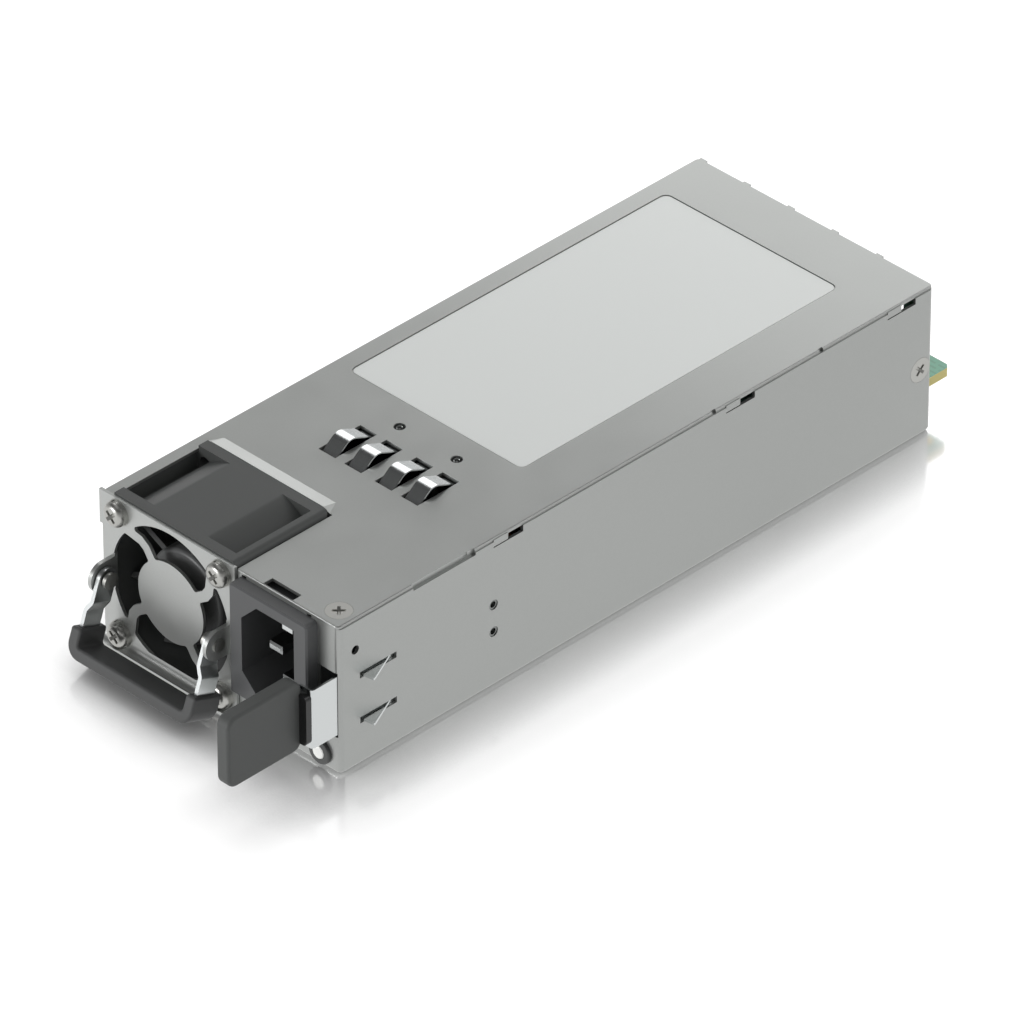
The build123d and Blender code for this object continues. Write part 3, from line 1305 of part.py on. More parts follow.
with BuildPart() as fan_leads:
    for step in (-1, 1):
        strut_point = lead_start + step * lead_spacing / 2
        with BuildLine() as lead_path:
            Spline((fan_x - strut_point, fan_back, fan_z - strut_point),
                   (fan_x - lead_bow - lead_spacing * step, plug_y - 0.6,
                    board_top + plug_height + 2.4 - lead_spacing * step),
                   (plug_x - lead_spacing * step, plug_y, board_top + plug_height),
                   tangents=((0, 1, 0), (0, 0, -1)))
        with BuildSketch(Plane(origin=lead_path.line @ 0, z_dir=lead_path.line % 0)):
            Circle(fan_wire / 2)
        sweep(path=lead_path.line)
fan_leads.part.label = "fan_leads"
export_step(fan_leads.part, "parts/fan_leads.step")
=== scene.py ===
"""Looks of the hot swap server power supply, dressed round its packed solids."""
import json
import math

import bmesh
import bpy
from bpy.props import FloatProperty, FloatVectorProperty, IntProperty, PointerProperty
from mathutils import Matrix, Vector

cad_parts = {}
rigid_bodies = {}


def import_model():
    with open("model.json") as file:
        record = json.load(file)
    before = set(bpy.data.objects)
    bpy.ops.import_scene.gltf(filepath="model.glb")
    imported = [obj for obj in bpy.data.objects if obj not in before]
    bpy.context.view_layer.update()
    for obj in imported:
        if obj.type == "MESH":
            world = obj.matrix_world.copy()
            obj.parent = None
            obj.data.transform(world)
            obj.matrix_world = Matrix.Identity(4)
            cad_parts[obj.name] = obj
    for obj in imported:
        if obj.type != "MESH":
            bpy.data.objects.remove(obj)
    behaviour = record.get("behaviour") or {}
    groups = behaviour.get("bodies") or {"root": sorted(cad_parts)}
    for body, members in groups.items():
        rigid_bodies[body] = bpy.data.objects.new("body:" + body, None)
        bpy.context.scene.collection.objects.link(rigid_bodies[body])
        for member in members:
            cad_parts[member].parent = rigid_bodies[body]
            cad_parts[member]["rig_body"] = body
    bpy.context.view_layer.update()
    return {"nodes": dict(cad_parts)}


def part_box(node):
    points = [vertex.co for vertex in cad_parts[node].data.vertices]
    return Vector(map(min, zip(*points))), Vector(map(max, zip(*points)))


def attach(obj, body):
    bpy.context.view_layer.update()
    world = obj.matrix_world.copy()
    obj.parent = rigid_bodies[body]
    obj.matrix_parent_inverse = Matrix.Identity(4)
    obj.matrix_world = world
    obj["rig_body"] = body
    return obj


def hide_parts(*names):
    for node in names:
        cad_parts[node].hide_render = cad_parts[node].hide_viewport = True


bl_info = {
    "name": "Hot Swap Server Power Supply",
    "version": (1, 0, 0),
    "blender": (4, 5, 0),
    "location": "View3D > Sidebar > Supply",
    "description": "Finishes, fine pieces and studio for a slim server power supply",
    "category": "Add Mesh",
}

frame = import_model()
MM = 0.001
FINGERS = tuple(f"ground_finger_{number}" for number in (1, 2, 3, 4))

# corners of the packed solids this close are one corner, and edges this short are none
SAME_CORNER = 0.002 * MM
NO_EDGE = 0.001 * MM

# edges sharper than this many degrees stay sharp; the ramp behind the fan is the faintest fold
SHEET_FOLD = 32
RAMP_FOLD = 11
MOULD_EDGE = 40
RUBBER_EDGE = 50
STRIP_EDGE = 40
WIRE_EDGE = 60

# sides of a wire, and short straight parts in each of its corners and in each bend of a finger
WIRE_SIDES = 8
WIRE_CORNER = 3
FINGER_BEND = 12

# sums on a choke's sizes: a name, what is done, and its terms, which are sizes, lines above or numbers
WINDING_SUMS = (
    ("thin", "MULTIPLY", "Wire", 0.5),
    ("inset", "MULTIPLY", "thin", -1.0),
    ("outer", "MULTIPLY_ADD", "Diameter", 0.5, "inset"),
    ("inner", "MULTIPLY_ADD", "Diameter", 0.25, "thin"),
    ("across", "SUBTRACT", "outer", "inner"),
    ("both sides", "ADD", "outer", "inner"),
    ("between", "MULTIPLY", "both sides", 0.5),
    ("rise", "SUBTRACT", "Height", "Wire"),
    ("half height", "MULTIPLY", "Height", 0.5),
    # turns of one half are spread from one gap to the next, as seen on the inside of the ring
    ("half gap", "MULTIPLY_ADD", "Gap", 0.5, "thin"),
    ("slope", "DIVIDE", "half gap", "inner"),
    ("clear", "ARCSINE", "slope"),
    ("count", "MULTIPLY", "Turns", 0.5),
    ("sweep", "MULTIPLY_ADD", "clear", -2.0, math.pi),
    ("spaces", "SUBTRACT", "count", 1.0),
    ("step", "DIVIDE", "sweep", "spaces"),
    ("so far", "MULTIPLY", "place", "step"),
    ("half sweep", "MULTIPLY", "sweep", 0.5),
    ("spin", "SUBTRACT", "so far", "half sweep"),
)

# what metal mirrors from the world: height of the direction, where 1 is overhead, and brightness there;
# pale by the horizon and overhead, and dark between, where the fronts of the ground fingers look
DOME = ((0.3, 0.52), (0.6, 0.12), (0.72, 0.04), (0.86, 0.05), (0.97, 0.5))
WORLD_LIGHT = 0.6

# soft boxes: name, the setting with its strength, place, target, and size, all in metres
LAMPS = (
    ("key_box", "key_power", (-0.72, 0.42, 1.05), (0, 0, 0), (0.45, 0.45)),
    ("rim_box", "rim_power", (0.75, 0.8, 0.8), (0, 0, 0.02), (0.6, 0.6)),
    ("front_box", "front_power", (-0.5, -1.4, 0.35), (0, 0, 0.02), (0.5, 0.5)),
)

# the photo's frame: its width and how far its middle is moved, in pixels, and the lens, in millimetres
FRAME_WIDTH = 1024
SHIFT = (-11.564, -53.442)
LENS = 395.5
SENSOR = 36
CASE_HEIGHT = 39 * MM


def linear(hex_code):
    """An sRGB hex colour as linear red, green and blue."""
    parts = [int(hex_code[i:i + 2], 16) / 255 for i in (1, 3, 5)]
    return tuple(p / 12.92 if p <= 0.04045 else ((p + 0.055) / 1.055) ** 2.4 for p in parts)


def colour(name, hex_code, description):
    """A setting that holds a colour."""
    return FloatVectorProperty(name=name, description=description, default=linear(hex_code),
                               subtype="COLOR", size=3, min=0, max=1)


def length(name, millimetres, description):
    """A setting in millimetres."""
    return FloatProperty(name=name, description=description, default=millimetres * MM,
                         subtype="DISTANCE", unit="LENGTH", min=0, precision=5)


def angle(name, degrees, description):
    """A setting in degrees."""
    return FloatProperty(name=name, description=description, default=math.radians(degrees),
                         subtype="ANGLE")


def strength(name, watts, description):
    """A setting for a lamp, in watts."""
    return FloatProperty(name=name, description=description, default=watts, min=0,
                         subtype="POWER", unit="POWER")


def turns(name, number, description):
    """A setting that counts turns of wire."""
    return IntProperty(name=name, description=description, default=number, min=4)


class SheetSettings(bpy.types.PropertyGroup):
    """Folded sheet of the case"""
    zinc: colour("Zinc", "#A6A8A6", "Colour of the zinc coated sheet")
    grain: length("Grain", 0.5, "Size of the zinc's fine grain")
    mottle: length("Mottle", 9.0, "Size of the soft patches in the zinc")
    label: colour("Label", "#D1D4D2", "Colour of the plain label film")


class FanSettings(bpy.types.PropertyGroup):
    """Fan, its guard and its screws"""
    frame: colour("Frame", "#444645", "Colour of the moulded fan frame")
    impeller: colour("Impeller", "#5C5D5D", "Colour of the impeller")
    guard: colour("Guard", "#B4B6B4", "Colour of the guard's plated sheet")
    screw: colour("Screw", "#B4B4B0", "Colour of the plated screws")
    steel: colour("Spring steel", "#CDD0D0", "Colour of the rolled strip steel")


class SpringSettings(bpy.types.PropertyGroup):
    """Profile of the ground fingers"""
    thickness: length("Thickness", 0.3, "Thickness of the spring strip")
    root: length("Root", 1.3, "Length of the flat root")
    shoulder: length("Shoulder", 2.7, "From the root's end to where the finger leaves the cover")
    shoulder_rise: length("Shoulder rise", 1.7, "Height of that place above the root's underside")
    crest: length("Crest", 4.9, "From the tip to the crest")
    crest_rise: length("Crest rise", 0.2, "Height of the crest's corner above its rounded top")
    crest_radius: length("Crest radius", 3.2, "Bend of the strip at its crest")
    bend_radius: length("Bend radius", 0.7, "Bend of the strip near its root")


class FrontSettings(bpy.types.PropertyGroup):
    """Plastic pieces on the front"""
    inlet: colour("Inlet", "#4C4D4E", "Colour of the inlet's housing")
    grip: colour("Grip", "#454646", "Colour of the rubber grip")
    tab: colour("Tab", "#484A49", "Colour of the latch tab")
    lens: colour("Lamp lens", "#F6F7F4", "Colour of the milky lens")
    ring: colour("Lamp ring", "#3A3C3B", "Colour of the lamp's ring")
    texture: length("Texture", 0.12, "Grit of the moulded plastic's texture")
    # pin ends are lightened as a painted highlight, and the rest of each pin is darkened as painted shade
    pin_tip: length("Pin end", 0.9, "Length of each inlet pin's end that is lightened as a painted highlight")
    # the tab past this share of its width is painted near black, as painted shade at its root
    tab_soft: FloatProperty(name="Part before the painted shade", description="Share of the tab's width before its root darkened as painted shade",
                            default=0.675, min=0, max=1, subtype="FACTOR")


class BoardSettings(bpy.types.PropertyGroup):
    """Boards and power parts inside"""
    mask: colour("Solder mask", "#5E9A80", "Colour of the boards' solder mask")
    core: colour("Board core", "#C3B878", "Colour of the glass fibre at a cut edge")
    gold: colour("Gold", "#D9B45A", "Colour of the plated contacts")
    wire: length("Wire", 1.0, "Thickness of the chokes' enamelled wire")
    emi_turns: turns("Filter turns", 22, "Turns of wire on the filter choke")
    emi_gap: length("Filter gap", 5.0, "Gap between the filter choke's two halves")
    pfc_turns: turns("Choke turns", 34, "Turns of wire on the power factor choke")
    pfc_gap: length("Choke gap", 3.0, "Gap between the power factor choke's two halves")


class StageSettings(bpy.types.PropertyGroup):
    """Floor, lamps and camera"""
    key_power: strength("Key", 1.3, "Strength of the lamp above the left side")
    rim_power: strength("Rim", 2.0, "Strength of the lamp behind the right side")
    front_power: strength("Front", 9.0, "Strength of the low lamp in front")
    rear_power: strength("Rear panel", 1.2, "Strength of the panel that the cover mirrors")
    crest_power: strength("Crest panel", 0.34, "Strength of the panel in the ground fingers' crests")
    floor_power: strength("Floor panel", 12.0, "Strength of the panel that the floor mirrors")
    mirror: FloatProperty(name="Mirror", description="Share that the floor mirrors next to the case",
                          default=0.44, min=0, max=1, subtype="FACTOR")
    fade: length("Fade", 25.0, "Distance over which the floor's mirroring fades")
    contact: length("Contact shadow", 17.0, "Reach of the dark line where the case meets the floor")
    turn: angle("Turn", 44.927, "Angle of the camera round the supply")
    height: angle("Height", 34.828, "Angle of the camera above the floor")
    distance: length("Distance", 2479.5, "From the middle of the case to the camera")


def add(tree, kind, inputs=None, **settings):
    """Adds a node, sets its options, and sets or links its inputs."""
    made = tree.nodes.new(kind)
    for name, value in settings.items():
        setattr(made, name, value)
    for name, value in (inputs or {}).items():
        if isinstance(value, bpy.types.NodeSocket):
            tree.links.new(value, made.inputs[name])
        else:
            made.inputs[name].default_value = value
    return made


def new_material(name):
    """An empty material and its tree, ready for a shader."""
    made = bpy.data.materials.new(name)
    made.use_nodes = True
    made.node_tree.nodes.clear()
    return made, made.node_tree


def shades(rgb, share):
    """The two ends of a mix: a colour made darker, and made lighter, by a share."""
    darker, lighter = [c * (1 - share) for c in rgb], [min(1, c * (1 + share)) for c in rgb]
    return {"A": (*darker, 1), "B": (*lighter, 1)}


def spread(middle, swing):
    """Brings a noise, which mostly lies between 0.3 and 0.7, to a little under and over a middle."""
    return {"From Min": 0.3, "From Max": 0.7, "To Min": middle - swing, "To Max": middle + swing}


def galvanised_steel(name, rgb, grain, mottle, rough=0.325):
    """Zinc coated sheet, skin passed: an even satin grey with a fine grain and faint soft patches.

    The grain is drawn coarser than the real one, so that it shows.
    """
    made, tree = new_material(name)
    spot = add(tree, "ShaderNodeTexCoord").outputs["Object"]
    patches = add(tree, "ShaderNodeTexNoise", {"Vector": spot, "Scale": 1 / mottle, "Detail": 2.0})
    fine = add(tree, "ShaderNodeTexNoise", {"Vector": spot, "Scale": 1 / grain, "Detail": 3.0})
    both = add(tree, "ShaderNodeMix", {"Factor": 0.6, "A": patches.outputs["Fac"],
                                       "B": fine.outputs["Fac"]})
    base = add(tree, "ShaderNodeMix", {"Factor": both.outputs["Result"], **shades(rgb, 0.05)},
               data_type="RGBA")
    gloss = add(tree, "ShaderNodeMapRange", {"Value": patches.outputs["Fac"], **spread(rough, 0.02)})
    bumps = add(tree, "ShaderNodeBump", {"Height": fine.outputs["Fac"], "Strength": 0.08,
                                         "Distance": 0.02 * MM})
    surface = add(tree, "ShaderNodeBsdfPrincipled", {
        "Base Color": base.outputs["Result"], "Metallic": 0.8, "Roughness": gloss.outputs["Result"],
        "Normal": bumps.outputs["Normal"]})
    add(tree, "ShaderNodeOutputMaterial", {"Surface": surface.outputs[0]})
    return made


def plated_steel(name, rgb, rough=0.34, cloud=1.5 * MM):
    """Bright plating on turned or pressed metal: a clear highlight with a faint haze in small clouds."""
    made, tree = new_material(name)
    spot = add(tree, "ShaderNodeTexCoord").outputs["Object"]
    haze = add(tree, "ShaderNodeTexNoise", {"Vector": spot, "Scale": 1 / cloud, "Detail": 3.0})
    gloss = add(tree, "ShaderNodeMapRange", {"Value": haze.outputs["Fac"], **spread(rough, 0.05)})
    surface = add(tree, "ShaderNodeBsdfPrincipled", {
        "Base Color": (*rgb, 1), "Metallic": 1.0, "Roughness": gloss.outputs["Result"]})
    add(tree, "ShaderNodeOutputMaterial", {"Surface": surface.outputs[0]})
    return made


def rolled_strip(name, rgb, rough=0.22, line=0.15 * MM):
    """Cold rolled spring strip: mirror like, with fine lines along the rolling direction.

    The lines are drawn wider apart than the real ones, so that they show.
    """
    made, tree = new_material(name)
    spot = add(tree, "ShaderNodeTexCoord").outputs["Object"]
    stretch = add(tree, "ShaderNodeMapping", {"Vector": spot, "Scale": (1.0, 0.03, 1.0)})
    lines = add(tree, "ShaderNodeTexNoise", {"Vector": stretch.outputs["Vector"], "Scale": 1 / line})
    bumps = add(tree, "ShaderNodeBump", {"Height": lines.outputs["Fac"], "Strength": 0.06,
                                         "Distance": 0.01 * MM})
    surface = add(tree, "ShaderNodeBsdfPrincipled", {
        "Base Color": (*rgb, 1), "Metallic": 1.0, "Roughness": rough,
        "Normal": bumps.outputs["Normal"]})
    add(tree, "ShaderNodeOutputMaterial", {"Surface": surface.outputs[0]})
    return made


def moulded_plastic(name, rgb, texture, rough=0.5):
    """Plastic or rubber from a spark eroded mould: matt, with a very fine even grit."""
    made, tree = new_material(name)
    spot = add(tree, "ShaderNodeTexCoord").outputs["Object"]
    grit = add(tree, "ShaderNodeTexNoise", {"Vector": spot, "Scale": 1 / texture, "Detail": 2.0})
    bumps = add(tree, "ShaderNodeBump", {"Height": grit.outputs["Fac"], "Strength": 0.25,
                                         "Distance": 0.012 * MM})
    base = add(tree, "ShaderNodeMix", {"Factor": grit.outputs["Fac"], **shades(rgb, 0.05)},
               data_type="RGBA")
    surface = add(tree, "ShaderNodeBsdfPrincipled", {
        "Base Color": base.outputs["Result"], "Roughness": rough, "IOR": 1.5,
        "Normal": bumps.outputs["Normal"]})
    add(tree, "ShaderNodeOutputMaterial", {"Surface": surface.outputs[0]})
    return made


def plain(name, rgb, rough, metal=0.0, coat=0.0):
    """An even surface whose texture is too fine to see, such as enamel, film or tinned copper."""
    made, tree = new_material(name)
    surface = add(tree, "ShaderNodeBsdfPrincipled", {
        "Base Color": (*rgb, 1), "Roughness": rough, "Metallic": metal, "Coat Weight": coat})
    add(tree, "ShaderNodeOutputMaterial", {"Surface": surface.outputs[0]})
    return made


def solder_mask(name, rgb, track=6 * MM):
    """Green solder mask over copper tracks: glossy, a little lighter where a track runs below."""
    made, tree = new_material(name)
    spot = add(tree, "ShaderNodeTexCoord").outputs["Object"]
    black, white = (0, 0, 0, 1), (1, 1, 1, 1)
    tracks = add(tree, "ShaderNodeTexBrick", {"Vector": spot, "Scale": 1 / track, "Mortar Size": 0.08,
                                              "Color1": black, "Color2": black, "Mortar": white})
    base = add(tree, "ShaderNodeMix", {"Factor": tracks.outputs["Color"], **shades(rgb, 0.1)},
               data_type="RGBA")
    surface = add(tree, "ShaderNodeBsdfPrincipled", {
        "Base Color": base.outputs["Result"], "Roughness": 0.3, "Coat Weight": 0.3})
    add(tree, "ShaderNodeOutputMaterial", {"Surface": surface.outputs[0]})
    return made


def smooth_copy(source, name, fold):
    """A copy of a solid's mesh with its loose corners merged, smooth but for edges sharper than fold."""
    work = bmesh.new()
    work.from_mesh(source)
    bmesh.ops.remove_doubles(work, verts=work.verts, dist=SAME_CORNER)
    bmesh.ops.dissolve_degenerate(work, edges=work.edges, dist=NO_EDGE)
    work.verts.index_update()
    mesh = bpy.data.meshes.new(name)
    mesh.from_pydata([v.co for v in work.verts], [], [[v.index for v in f.verts] for f in work.faces])
    work.free()
    mesh.shade_smooth()
    mesh.set_sharp_from_angle(angle=math.radians(fold))
    return mesh


def stand_in(node, mesh):
    """A finished piece with this mesh, which rides as the packed solid that it replaces."""
    piece = bpy.data.objects.new(f"{node}_finished", mesh)
    bpy.context.scene.collection.objects.link(piece)
    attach(piece, frame["nodes"][node]["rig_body"])
    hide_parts(node)
    return piece


def dress(node, *materials, fold=SHEET_FOLD, pick=None):
    """A smooth copy of a packed solid in its own materials, of which pick chooses one for each face."""
    mesh = smooth_copy(frame["nodes"][node].data, f"{node}_mesh", fold)
    for made in materials:
        mesh.materials.append(made)
    for face in mesh.polygons:
        face.material_index = pick(face) if pick else 0
    flat = stand_in(node, mesh).modifiers.new("flat faces stay flat", "WEIGHTED_NORMAL")
    flat.keep_sharp = True
    flat.weight = 100


def new_tree(name, **kinds):
    """A geometry tree with named inputs; gives the tree and the sockets that carry them."""
    tree = bpy.data.node_groups.new(name, "GeometryNodeTree")
    for label, kind in kinds.items():
        tree.interface.new_socket(label, in_out="INPUT", socket_type=f"NodeSocket{kind}")
    tree.interface.new_socket("Geometry", in_out="OUTPUT", socket_type="NodeSocketGeometry")
    return tree, add(tree, "NodeGroupInput").outputs


def finish_tree(tree, geometry, finish):
    """Ends a geometry tree: what it made becomes real and takes its material."""
    real = add(tree, "GeometryNodeRealizeInstances", {"Geometry": geometry})
    dressed = add(tree, "GeometryNodeSetMaterial", {"Geometry": real.outputs[0], "Material": finish})
    add(tree, "NodeGroupOutput", {"Geometry": dressed.outputs[0]})


def grown(node, tree, fold, **sizes):
    """The plain, smooth mesh that a geometry tree makes, in the place of a packed solid."""
    maker = bpy.data.objects.new(f"{node}_maker", bpy.data.meshes.new(f"{node}_start"))
    bpy.context.scene.collection.objects.link(maker)
    grow = maker.modifiers.new("grow", "NODES")
    grow.node_group = tree
    for item in tree.interface.items_tree:
        if item.name in sizes:
            grow[item.identifier] = sizes[item.name]
    mesh = bpy.data.meshes.new_from_object(maker.evaluated_get(bpy.context.evaluated_depsgraph_get()))
    bpy.data.objects.remove(maker)
    mesh.name = f"{node}_mesh"
    mesh.shade_smooth()
    mesh.set_sharp_from_angle(angle=math.radians(fold))
    stand_in(node, mesh)


def choke_tree():
    """Turns of wire round a ring that lies flat, in two halves with a gap between them."""
    tree, given = new_tree("choke_turns", Diameter="Float", Height="Float", Wire="Float", Turns="Int",
                           Gap="Float", Middle="Vector", Finish="Material")
    size = {socket.name: socket for socket in given}
    size["place"] = add(tree, "GeometryNodeInputIndex").outputs[0]
    for name, done, *terms in WINDING_SUMS:
        values = [size[term] if isinstance(term, str) else term for term in terms]
        size[name] = add(tree, "ShaderNodeMath", dict(enumerate(values)), operation=done).outputs[0]

    # one turn, standing beside the ring's middle
    loop = add(tree, "GeometryNodeCurvePrimitiveQuadrilateral", {"Width": size["across"],
                                                                 "Height": size["rise"]})
    rounded = add(tree, "GeometryNodeFilletCurve", {"Curve": loop.outputs[0], "Radius": size["Wire"]},
                  mode="POLY")
    rounded.inputs["Count"].default_value = WIRE_CORNER
    beside = add(tree, "ShaderNodeCombineXYZ", {"X": size["between"], "Z": size["half height"]})
    upright = add(tree, "GeometryNodeTransform", {"Geometry": rounded.outputs[0],
                                                  "Translation": beside.outputs[0],
                                                  "Rotation": (math.pi / 2, 0, 0)})
    section = add(tree, "GeometryNodeCurvePrimitiveCircle", {"Resolution": WIRE_SIDES,
                                                             "Radius": size["thin"]})
    turn = add(tree, "GeometryNodeCurveToMesh", {"Curve": upright.outputs[0],
                                                 "Profile Curve": section.outputs[0]})

    # half of the turns, then the other half across the gap
    row = add(tree, "GeometryNodeMeshLine", {"Count": size["count"], "Offset": (0, 0, 0)}, mode="OFFSET")
    turned = add(tree, "ShaderNodeCombineXYZ", {"Z": size["spin"]})
    half = add(tree, "GeometryNodeInstanceOnPoints", {"Points": row.outputs[0], "Instance": turn.outputs[0],
                                                      "Rotation": turned.outputs[0]})
    other = add(tree, "GeometryNodeTransform", {"Geometry": half.outputs[0], "Rotation": (0, 0, math.pi)})
    both = add(tree, "GeometryNodeJoinGeometry")
    for part in (half, other):
        tree.links.new(part.outputs[0], both.inputs[0])
    placed = add(tree, "GeometryNodeTransform", {"Geometry": both.outputs[0],
                                                 "Translation": size["Middle"]})
    finish_tree(tree, placed.outputs[0], size["Finish"])
    return tree


def finger_tree():
    """A flat spring bent through five points, from its root over its crest to its tip."""
    corners = ("Root", "Bend", "Shoulder", "Crest", "Tip")
    tree, given = new_tree("ground_finger", **dict.fromkeys(corners, "Vector"), Width="Float",
                           Thickness="Float", Crest_radius="Float", Bend_radius="Float", Finish="Material")
    place = add(tree, "GeometryNodeInputIndex").outputs[0]
    at = add(tree, "GeometryNodeIndexSwitch", {"Index": place}, data_type="VECTOR")
    curl = add(tree, "GeometryNodeIndexSwitch", {"Index": place}, data_type="FLOAT")
    for _ in corners[2:]:
        at.index_switch_items.new()
        curl.index_switch_items.new()
    for number, corner in enumerate(corners):
        tree.links.new(given[corner], at.inputs[str(number)])
        radius = given["Crest_radius" if corner == "Crest" else "Bend_radius"]
        tree.links.new(radius, curl.inputs[str(number)])
    row = add(tree, "GeometryNodeMeshLine", {"Count": len(corners)}, mode="OFFSET")
    bent = add(tree, "GeometryNodeSetPosition", {"Geometry": row.outputs[0], "Position": at.outputs[0]})
    line = add(tree, "GeometryNodeMeshToCurve", {"Mesh": bent.outputs[0]})
    rounded = add(tree, "GeometryNodeFilletCurve", {"Curve": line.outputs[0], "Radius": curl.outputs[0],
                                                    "Limit Radius": True}, mode="POLY")
    rounded.inputs["Count"].default_value = FINGER_BEND
    level = add(tree, "GeometryNodeSetCurveNormal", {"Curve": rounded.outputs[0]}, mode="Z_UP")
    section = add(tree, "GeometryNodeCurvePrimitiveQuadrilateral", {"Width": given["Width"],
                                                                    "Height": given["Thickness"]})
    strip = add(tree, "GeometryNodeCurveToMesh", {"Curve": level.outputs[0], "Fill Caps": True,
                                                  "Profile Curve": section.outputs[0]})
    finish_tree(tree, strip.outputs[0], given["Finish"])
    return tree


class SUPPLY_OT_case(bpy.types.Operator):
    """Folded tray, cover and plain label"""
    bl_idname = "supply.case"
    bl_label = "Case"

    def execute(self, context):
        sheet = context.scene.supply_sheet
        zinc = galvanised_steel("Galvanised sheet, skin passed", sheet.zinc, sheet.grain, sheet.mottle)
        # cast polyester film: pale and even, with a broad weak shine
        film = plain("Polyester label film, matt", sheet.label, rough=0.42)
        dress("chassis_tray", zinc)
        dress("top_cover", zinc, fold=RAMP_FOLD)
        dress("label", film)
        return {"FINISHED"}


class SUPPLY_OT_fan(bpy.types.Operator):
    """Fan frame, impeller and motor"""
    bl_idname = "supply.fan"
    bl_label = "Fan"

    def execute(self, context):
        fan = context.scene.supply_fan
        texture = context.scene.supply_front.texture
        dress("fan_frame", moulded_plastic("Fan frame, moulded PBT", fan.frame, texture), fold=MOULD_EDGE)
        dress("fan_impeller", moulded_plastic("Impeller, moulded PBT", fan.impeller, texture, rough=0.4),
              fold=MOULD_EDGE)
        dress("fan_shaft", plated_steel("Ground steel shaft", fan.steel, rough=0.18))
        # pressed ferrite powder in plastic: dull and nearly black
        dress("fan_magnet", plain("Bonded ferrite", linear("#2B2A2A"), rough=0.7))
        dress("fan_bearings", plated_steel("Turned bearing brass", linear("#B08D4A")))
        # punched sheets under varnish: dull grey metal
        dress("fan_stator", plain("Stacked motor sheet", linear("#77797A"), rough=0.45, metal=0.9))
        dress("fan_circuit_board", solder_mask("Fan board solder mask", linear("#2F6B50")))
        return {"FINISHED"}


class SUPPLY_OT_guard(bpy.types.Operator):
    """Fan guard with its screws and washers"""
    bl_idname = "supply.guard"
    bl_label = "Fan guard"

    def execute(self, context):
        fan = context.scene.supply_fan
        sheet = context.scene.supply_sheet
        plate = galvanised_steel("Guard sheet, zinc plated", fan.guard, sheet.grain, sheet.mottle,
                                 rough=0.34)
        bright = plated_steel("Screw steel, bright zinc", fan.screw)
        dress("fan_guard", plate)
        for node in ("fan_flat_washers", "fan_lock_washers", "fan_screws"):
            dress(node, bright)
        return {"FINISHED"}


class SUPPLY_OT_handle(bpy.types.Operator):
    """Bail handle with its rubber grip and rivets"""
    bl_idname = "supply.handle"
    bl_label = "Handle"

    def execute(self, context):
        fan, front = context.scene.supply_fan, context.scene.supply_front
        dress("handle_frame", rolled_strip("Bail strip steel", fan.steel, rough=0.3))
        dress("handle_grip", moulded_plastic("Grip, moulded rubber", front.grip, front.texture, rough=0.6),
              fold=RUBBER_EDGE)
        dress("handle_rivets", plated_steel("Rivet steel", fan.screw, rough=0.35))
        return {"FINISHED"}


class SUPPLY_OT_inlet(bpy.types.Operator):
    """Inlet with its pins, and the indicator lamp"""
    bl_idname = "supply.inlet"
    bl_label = "Inlet and lamp"

    def execute(self, context):
        fan, front = context.scene.supply_fan, context.scene.supply_front
        dress("inlet_housing", moulded_plastic("Inlet, moulded PBT", front.inlet, front.texture,
                                               rough=0.42))
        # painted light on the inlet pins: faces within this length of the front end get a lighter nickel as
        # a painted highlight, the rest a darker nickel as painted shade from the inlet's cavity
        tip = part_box("inlet_pins")[0].y + front.pin_tip

        def polished(face):
            return 1 if face.center.y < tip else 0

        # the first nickel is darkened as painted shade, the second is lightened as a painted highlight
        dress("inlet_pins", plated_steel("Pin brass, dull nickel", linear("#6C6E6E"), rough=0.35),
              plated_steel("Pin end, polished nickel", fan.steel, rough=0.2), pick=polished)
        # polished mould: smooth and dark, with a sharp shine
        dress("lamp_bezel", plain("Lamp ring, polished ABS", front.ring, rough=0.25))
        # milky plastic: smooth and nearly white
        dress("lamp_lens", plain("Lamp lens, milky polycarbonate", front.lens, rough=0.2))
        return {"FINISHED"}


class SUPPLY_OT_latch(bpy.types.Operator):
    """Release latch: strip with two teeth, foot, rivets and tab"""
    bl_idname = "supply.latch"
    bl_label = "Latch"

    def execute(self, context):
        fan, front = context.scene.supply_fan, context.scene.supply_front
        strip = rolled_strip("Latch strip steel", fan.steel)
        dress("latch_spring", strip)
        dress("latch_foot", strip)
        dress("latch_rivets", plated_steel("Latch rivet steel", linear("#7C7E7D"), rough=0.18))
        # painted shade: faces of the tab past this share of its width take a near black material, for the
        # shade at the tab's root
        low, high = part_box("latch_tab")
        root = low.x + front.tab_soft * (high.x - low.x)

        def in_root(face):
            return 1 if face.center.x > root else 0

        dress("latch_tab", moulded_plastic("Tab, soft matt TPE", front.tab, front.texture, rough=0.6),
              moulded_plastic("Tab root, black nylon", linear("#161717"), front.texture, rough=0.3),
              fold=RUBBER_EDGE, pick=in_root)
        return {"FINISHED"}


class SUPPLY_OT_fingers(bpy.types.Operator):
    """Ground fingers that stand up through the cover, with their strip and rivets"""
    bl_idname = "supply.fingers"
    bl_label = "Ground fingers"

    def execute(self, context):
        spring = context.scene.supply_spring
        strip = rolled_strip("Finger spring steel", context.scene.supply_fan.steel, rough=0.25)
        tree = finger_tree()
        for node in FINGERS:
            low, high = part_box(node)
            middle, half = (low.x + high.x) / 2, spring.thickness / 2
            grown(node, tree, STRIP_EDGE, Root=(middle, high.y, low.z + half),
                  Bend=(middle, high.y - spring.root, low.z + half),
                  Shoulder=(middle, high.y - spring.shoulder, low.z + spring.shoulder_rise),
                  Crest=(middle, low.y + spring.crest, high.z + spring.crest_rise),
                  Tip=(middle, low.y + half, low.z + half), Width=high.x - low.x,
                  Thickness=spring.thickness, Crest_radius=spring.crest_radius,
                  Bend_radius=spring.bend_radius, Finish=strip)
        dress("ground_strip", strip)
        dress("ground_rivets", plated_steel("Strip rivet steel", linear("#7C7E7D"), rough=0.18))
        return {"FINISHED"}


